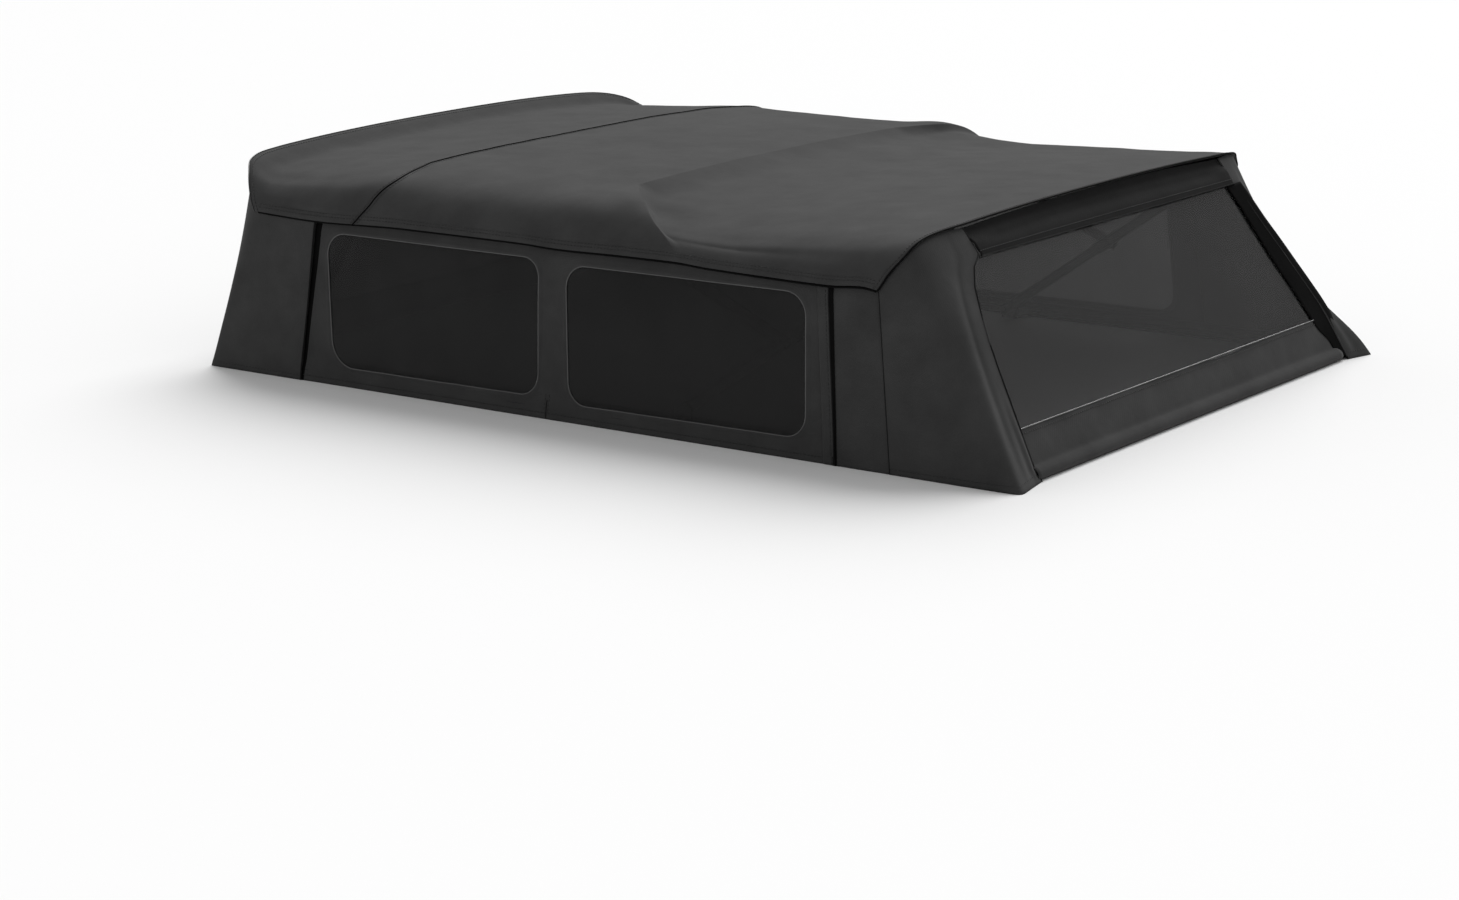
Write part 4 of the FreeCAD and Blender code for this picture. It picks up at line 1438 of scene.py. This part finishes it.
@dataclass
class Corners:
    """The front and rear corner sheets and the rear quarter of one side."""

    roof: RoofForm
    form: SideForm
    # radii of the rolled edges down the two flaps
    front_lip: float = 1.8
    rear_lip: float = 1.4
    # the sheet's free edge beside the rear window, from its foot up, as on the left
    inner_left: tuple = ((1079, -712, 0), (1060, -711, 26), (1022, -702, 96), (992, -694, 150),
                         (958, -684, 209), (926, -673, 265), (896, -658, 321),
                         (868, -636, 368), (849, -608, 404), (838, -572, 424),
                         (801, -578, 477))
    # the right one stands more open towards its foot
    inner_right: tuple = ((1079, -752, 0), (1062, -749, 30), (1045, -748, 60),
                          (1023, -745, 100), (1006, -737, 130), (978, -715, 180),
                          (950, -691, 230), (922, -667, 280), (894, -642, 330),
                          (864, -620, 380), (842, -602, 415), (801, -585, 477))

    def lip_line(self, shift: float, out: float) -> list[Vector]:
        """Points down the rear flap's edge.

        Args:
            shift: How far behind the edge.
            out: How far outside it.

        Returns:
            The points in mm.
        """
        form = self.form
        pair = (form.rear_flap[0] + shift, form.rear_flap[1] + shift)
        return [form.point(form.lean(pair, z), z, out) for z in range(1, int(form.top) - 10, 9)]

    def rear(self) -> CornerForm:
        """The form of the rear corner sheet.

        Returns:
            The form, as for the left side.
        """
        form = self.form
        left = form.side is Side.LEFT
        foot = [Vector((x, y, 0)) for x, y in (
            (form.seam[0], -839), (900, -840), (1010, -840), (1076, -839), (1102, -836),
            (1099, -812), (1090, -770), (1079, -712))]
        head = [self.roof.edge(s, True, 3.5, form.side) for s in (14, 46, 90, 135, 175, 205, 228)]
        head = [Vector((form.seam[1], -800.5, 372)), *head, Vector((801, -578, 477))]
        inner = self.inner_left if left else self.inner_right
        return CornerForm(form.side, foot, head, [Vector(spot) for spot in inner],
                          bulge=-10 if left else -44, fold=7.0 if left else 3.0,
                          seed=form.side.value * 3.0)

    def opening_tape(self, finishes: Finishes) -> bpy.types.Object:
        """A near-black strip beside the rear window: painted shadow in the gap where the corner's
        flap stands open.

        Args:
            finishes: The canopy's finishes.

        Returns:
            The tape.
        """
        word = self.form.side.word
        end = RearEnd()

        def place(u: float, v: float) -> Vector:
            """Point of the tape.

            Args:
                u: Share across the sheet.
                v: Share up the sheet.

            Returns:
                The point in mm.
            """
            z = blend(6, 418, v)
            near = table(end.edge_right, z) - 8
            far = table(end.flap_right, z) + blend(-4, 13, ease((z - 40) / 60))
            return flip_y(end.plane(-blend(near, far, u), z, 0.4 + 6.5 * u), self.form.side)

        tape = grid_sheet("rear_window_tape_" + word, 10, 60, place, (50, 470),
                          flip=self.form.side is Side.RIGHT)
        thicken(tape, SHADOW_SHEET_MM)
        return finish(tape, finishes.tape)

    def front(self) -> CornerForm:
        """The form of the front corner sheet.

        Returns:
            The form, as for the left side.
        """
        form = self.form
        foot = [Vector((x, y, 0)) for x, y in (
            (form.front_flap[0] - 2, -840), (-900, -840), (-1000, -840), (-1080, -840),
            (-1100, -838), (-1100, -812), (-1100, -760), (-1100, -716))]
        head = [Vector((x, -801, z)) for x, z in (
            (form.front_flap[1] - 2, 374), (-850, 373), (-900, 373), (-950, 374))]
        head += [self.roof.edge(s, False, 4.0) for s in (8, 50, 110)]
        head.append(Vector((-1095, -640, 476)))
        return CornerForm(form.side, foot, head, bulge=2, seed=7 + form.side.value * 2.0)

    def build(self, finishes: Finishes) -> None:
        """Makes the corner sheets, the quarter and the flap edges.

        Args:
            finishes: The canopy's finishes.
        """
        form, word = self.form, self.form.side.word
        left = form.side is Side.LEFT
        rear, front = self.rear(), self.front()
        rear_cloth = grid_sheet("rear_corner_cloth_" + word, 110, 70, rear.place, (420, 480),
                                flip=not left)
        front_cloth = grid_sheet("front_corner_cloth_" + word, 90, 60, front.place, (420, 470),
                                 flip=left)
        quarter = grid_sheet("rear_quarter_cloth_" + word, 26, 60, lambda u, v: form.point(
            blend(form.lean(form.rear_flap, v * form.top) - 6,
                  form.lean(form.seam, v * form.top) + 14, u), v * form.top,
            0.8 * (1 - u) - 1.2 * (1 - u) ** 4 - 2.4 * ease(12 * u - 10.6)), (150, 390),
            flip=not left)
        for cloth, node in ((rear_cloth, "rear_corner_"), (front_cloth, "front_corner_"),
                            (quarter, "rear_quarter_")):
            thicken(cloth, CLOTH_MM)
            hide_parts(node + word)
            finish(cloth, finishes.cloth)
        # on the right, a near-black strip beside the rear window is painted shadow under the open
        # flap
        tapes = [] if left else [self.opening_tape(finishes)]
        edges = [
            cord_mesh("rear_corner_seam_" + word,
                      [rear.place(0.002, f) for f in shares(40)], 1.2),
            cord_mesh("rear_corner_edge_" + word,
                      [rear.place(1.0, f) for f in shares(60)], 1.5),
            cord_mesh("front_flap_edge_" + word, [
                front.place(0.0, f) for f in shares(40)], self.front_lip),
            cord_mesh("rear_flap_edge_" + word, self.lip_line(0.5, 1.6), self.rear_lip),
        ]
        for edge in edges:
            finish(edge, finishes.seam)
        rows = [[rear.place(0.975, f) for f in shares(40)[1:-1]],
                [rear.place(0.025, f) for f in shares(40)[1:-2]],
                [front.place(0.025, f) for f in shares(40)[1:-2]],
                self.lip_line(-6, 2.7),
                [rear.place(f, 0.03) for f in shares(60)[1:-3]],
                [front.place(f, 0.03) for f in shares(60)[1:-3]]]
        finish(stitches("corner_stitching_" + word, rows), finishes.thread)


@dataclass
class RearEnd:
    """The header band, the rear window, the lower band and its rolled foot."""

    foot: float = 1070.8
    slope: float = 0.56
    band_top: float = 98.0
    window_top: float = 421.0
    header_top: float = 478.0
    # half width under the corner sheets' edges, by height
    edge: tuple = ((0, 716), (26, 714), (96, 706), (209, 690), (265, 680), (321, 664),
                   (368, 646), (404, 624), (424, 600), (478, 590))
    edge_right: tuple = ((0, 724), (40, 722), (80, 690), (130, 673), (180, 655), (230, 635),
                         (280, 618), (330, 602), (380, 586), (424, 569), (478, 584))
    # where the near-black strip of painted shadow on the right ends, under the corner sheet's open
    # edge
    flap_right: tuple = ((0, 752), (60, 756), (100, 754), (130, 746), (180, 724), (230, 700),
                         (280, 676), (330, 650), (380, 628), (424, 606))

    def plane(self, y: float, z: float, out: float = 0.0) -> Vector:
        """Point on the sloping rear.

        Args:
            y: Place across.
            z: Height over the rail's foot.
            out: How far it is moved outwards.

        Returns:
            The point in mm.
        """
        soft = 2.4 * ripple(0, y, z, 260, 2.2) + 1.0 * ripple(0, y * 0.3, z, 60, 6.4)
        soft *= ease((0.98 * table(self.edge, z) - abs(y)) / 60)
        return Vector((self.foot - z * self.slope + 0.87 * (out + soft), y,
                       z + 0.49 * (out + soft)))

    def build(self, finishes: Finishes) -> None:
        """Makes the rear end's pieces.

        Args:
            finishes: The canopy's finishes.
        """

        def header(u: float, v: float) -> Vector:
            """Point of the header band, which sinks under its middle.

            Args:
                u: Share across the sheet.
                v: Share up the sheet.

            Returns:
                The point in mm.
            """
            left, right = blend(566, 584, v), blend(596, 590, v)
            sway = 0.52 + 0.10 * ripple(u * 900, 0, 0, 330, 4.4)
            lift = 5.0 - 13.0 * ease((v - 0.42) / 0.5)
            lift -= 6.0 * bell(v, sway, 0.15) * ease(u * 9) * ease(9 - 9 * u)
            crown = 12 * v * (1 - (2 * u - 1) ** 2)
            return self.plane(blend(-left, right, u),
                              blend(self.window_top - 3, self.header_top, v) + crown, lift + 1)

        band = grid_sheet("header_cloth", 140, 26, header, (1170, 68))
        thicken(band, CLOTH_MM)
        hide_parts("rear_header")
        # the header band's near-black colour is painted shade
        finish(band, finishes.header)

        def film(u: float, v: float) -> Vector:
            """Point of the rear window's film, with a little belly.

            Args:
                u: Share across the sheet.
                v: Share up the sheet.

            Returns:
                The point in mm.
            """
            z = blend(self.band_top - 6, self.window_top + 4, v)
            left, right = table(self.edge, z), table(self.edge_right, z)
            belly = 5 * math.sin(math.pi * u) * math.sin(math.pi * v) ** 0.7
            return self.plane(blend(-left, right, u), z, belly - 2)

        pane = grid_sheet("rear_window_film", 120, 40, film, (1350, 380))
        thicken(pane, FILM_MM)
        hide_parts("rear_window")
        finish(pane, finishes.rear_film)

        roll = [Vector((x, 0, z)) for x, z in (
            (1016.4, 97), (1034, 66), (1049, 38), (1054, 29), (1062, 28), (1072, 24), (1078, 14),
            (1076, 5), (1068, 1))]

        def lower(u: float, v: float) -> Vector:
            """Point of the lower band, rolled over the bar at its foot.

            Args:
                u: Share across the sheet.
                v: Share up the sheet.

            Returns:
                The point in mm.
            """
            line = spline(roll, 1 - v)
            y = blend(-table(self.edge, line.z) - 6, table(self.edge_right, line.z) + 4, u)
            soft = 1.5 * ripple(0, y, line.z * 2, 150, 4.0) * ease(v * 4) * ease(line.z / 30)
            return Vector((line.x + soft, y, line.z))

        foot = grid_sheet("rear_band_cloth", 120, 34, lower, (1400, 130))
        thicken(foot, CLOTH_MM)
        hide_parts("rear_curtain")
        finish(foot, finishes.cloth)
        # the weld's light grey is partly a painted highlight
        weld = cord_mesh("rear_window_weld", [
            self.plane(blend(-704, 690, f), self.band_top, 0.4) for f in shares(90)], 1.5)
        trim = cord_mesh("header_lower_edge", [header(f, 0.0) for f in shares(90)], 1.5)
        finish(weld, finishes.weld)
        finish(trim, finishes.seam)
        rows = [[header(f, 0.16) + Vector((1, 0, 0.5)) for f in shares(80)],
                [self.plane(blend(-690, 690, f), self.band_top - 9, 0.8) for f in shares(80)]]
        sewn = finish(stitches("rear_stitching", rows), finishes.thread)


@dataclass
class FrontEnd:
    """The front panel with its one wide window."""

    x: float = -1098.0
    half_foot: float = 716.0
    half_top: float = 652.0
    top: float = 480.0
    crown: float = 13.0

    def build(self, finishes: Finishes) -> None:
        """Makes the front panel's pieces.

        Args:
            finishes: The canopy's finishes.
        """
        border = [Vector((-self.half_foot, 0, 0)), Vector((self.half_foot, 0, 0)),
                  Vector((self.half_top, self.top, 0)), Vector((-self.half_top, self.top, 0))]

        def wall(y: float, z: float, out: float) -> Vector:
            """Point on the front's upright face, moved outwards."""
            soft = 2.0 * ripple(9, y, z, 220, 1.3) * ease(z / 40) * ease((470 - z) / 40)
            return Vector((self.x - out - soft * 0.4 + 5 * ease((z - 438) / 30), y, z))

        def place(u: float, v: float) -> Vector:
            """Point of the panel round its window.

            Args:
                u: Way round the window.
                v: Way out to the border.

            Returns:
                The point in mm.
            """
            spot, gap = FRONT_WINDOW.ring(border, u, v)
            arch = 1 - (spot.x / self.half_top) ** 2
            rise = self.crown * arch * ease((spot.y - self.top + 100) / 90)
            return wall(spot.x, spot.y + rise, 1.4 * bell(gap, 7, 6))

        cloth = grid_sheet("front_panel_cloth", 200, 20, place, (1500, 230), closed=True,
                           flip=True)
        thicken(cloth, CLOTH_MM)
        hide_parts("front_panel")
        finish(cloth, finishes.cloth)

        def film(u: float, v: float) -> Vector:
            """Point of the front window's film."""
            return wall(blend(-488, 488, u), blend(82, 348, v),
                        -2.0 - 1.5 * math.sin(math.pi * u) * math.sin(math.pi * v))

        pane = grid_sheet("front_window_film", 60, 20, film, (976, 266), flip=True)
        thicken(pane, FILM_MM)
        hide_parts("front_window")
        finish(pane, finishes.side_film)
        # the bead's light grey is partly a painted highlight
        bead = cord_mesh("front_window_edge", [
            wall(p.x, p.y, 0.6) for p in FRONT_WINDOW.outline(1.5)], 1.7, closed=True)
        finish(bead, finishes.weld)


@dataclass
class Metalwork:
    """The bows, brackets, knuckles, rails and rear bar that the frame brings."""

    anodised: str = "side_rail"

    def build(self, finishes: Finishes) -> None:
        """Dresses the metal nodes.

        Args:
            finishes: The canopy's finishes.
        """
        for name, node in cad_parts.items():
            if node.hide_render:
                continue
            metal = finishes.rail if name.startswith(self.anodised) else finishes.powder
            node.data.materials.clear()
            node.data.materials.append(metal)
            LOG.info("%s dressed", name)


@dataclass
class Studio:
    """A pale floor, soft light and the photograph's camera; lengths in metres."""

    place: tuple[float, float, float] = (4.4426, -6.6889, 1.7032)
    azimuth: float = 34.70
    elevation: float = 13.48
    focal_px: float = 3455.0
    floor_size: float = 120.0
    floor_gap: float = 0.0006
    sky: float = 0.47
    sun_from: tuple[float, float, float] = (-0.34, 1.0, 1.0)
    sun_angle: float = 50.0
    sun_strength: float = 2.8

    def floor(self) -> None:
        """Lays the floor just under the rails."""
        work = bmesh.new()
        bmesh.ops.create_grid(work, x_segments=4, y_segments=4, size=self.floor_size / 2)
        bmesh.ops.translate(work, verts=work.verts, vec=(0, 0, -self.floor_gap))
        ground = new_piece("studio_floor", work)
        ground.data.materials.append(MattePaper("matte_paper").make())

    def sky_panel(self) -> None:
        """Hangs one very wide soft lamp overhead, ahead of the canopy and to its right.

        It is a sun of a wide angle, so that the floor stays evenly pale to the horizon.
        """
        light = bpy.data.lights.new("overhead_soft", "SUN")
        light.angle = math.radians(self.sun_angle)
        light.energy = self.sun_strength
        lamp = bpy.data.objects.new("overhead_soft", light)
        lamp.rotation_euler = Vector(self.sun_from).to_track_quat("Z", "Y").to_euler()
        bpy.context.scene.collection.objects.link(lamp)

    def build(self) -> None:
        """Sets the floor, the world, the lamps and the camera."""
        self.floor()
        world = bpy.data.worlds.new("studio")
        bpy.context.scene.world = world
        world.use_nodes = True
        back = world.node_tree.nodes["Background"]
        back.inputs["Color"].default_value = linear("#ffffff")
        back.inputs["Strength"].default_value = self.sky
        self.sky_panel()
        camera = bpy.data.cameras.new("camera")
        camera.sensor_width = SENSOR_MM
        camera.lens = self.focal_px / IMAGE_WIDTH * SENSOR_MM
        camera.clip_end = 200
        eye = bpy.data.objects.new("camera", camera)
        a, e = math.radians(self.azimuth), math.radians(self.elevation)
        back_way = Vector((math.sin(a) * math.cos(e), -math.cos(a) * math.cos(e), math.sin(e)))
        right = Vector((math.cos(a), math.sin(a), 0))
        up = back_way.cross(right)
        turn = Matrix((right, up, back_way)).transposed().to_4x4()
        eye.matrix_world = Matrix.Translation(Vector(self.place)) @ turn
        bpy.context.scene.collection.objects.link(eye)
        bpy.context.scene.camera = eye
        bpy.context.scene.view_settings.view_transform = "Standard"


def main() -> None:
    """Builds the canopy's sub-assemblies in order."""
    logging.basicConfig(level=logging.INFO, format="%(name)s %(message)s")
    finishes = Finishes.build()
    Studio().build()
    roof = RoofForm()
    RoofCover(roof).build(finishes)
    for side in Side:
        form = SideForm(side)
        Curtain(form).build(finishes)
        Corners(roof, form).build(finishes)
    RearEnd().build(finishes)
    FrontEnd().build(finishes)
    Metalwork().build(finishes)


if __name__ == "__main__":
    main()
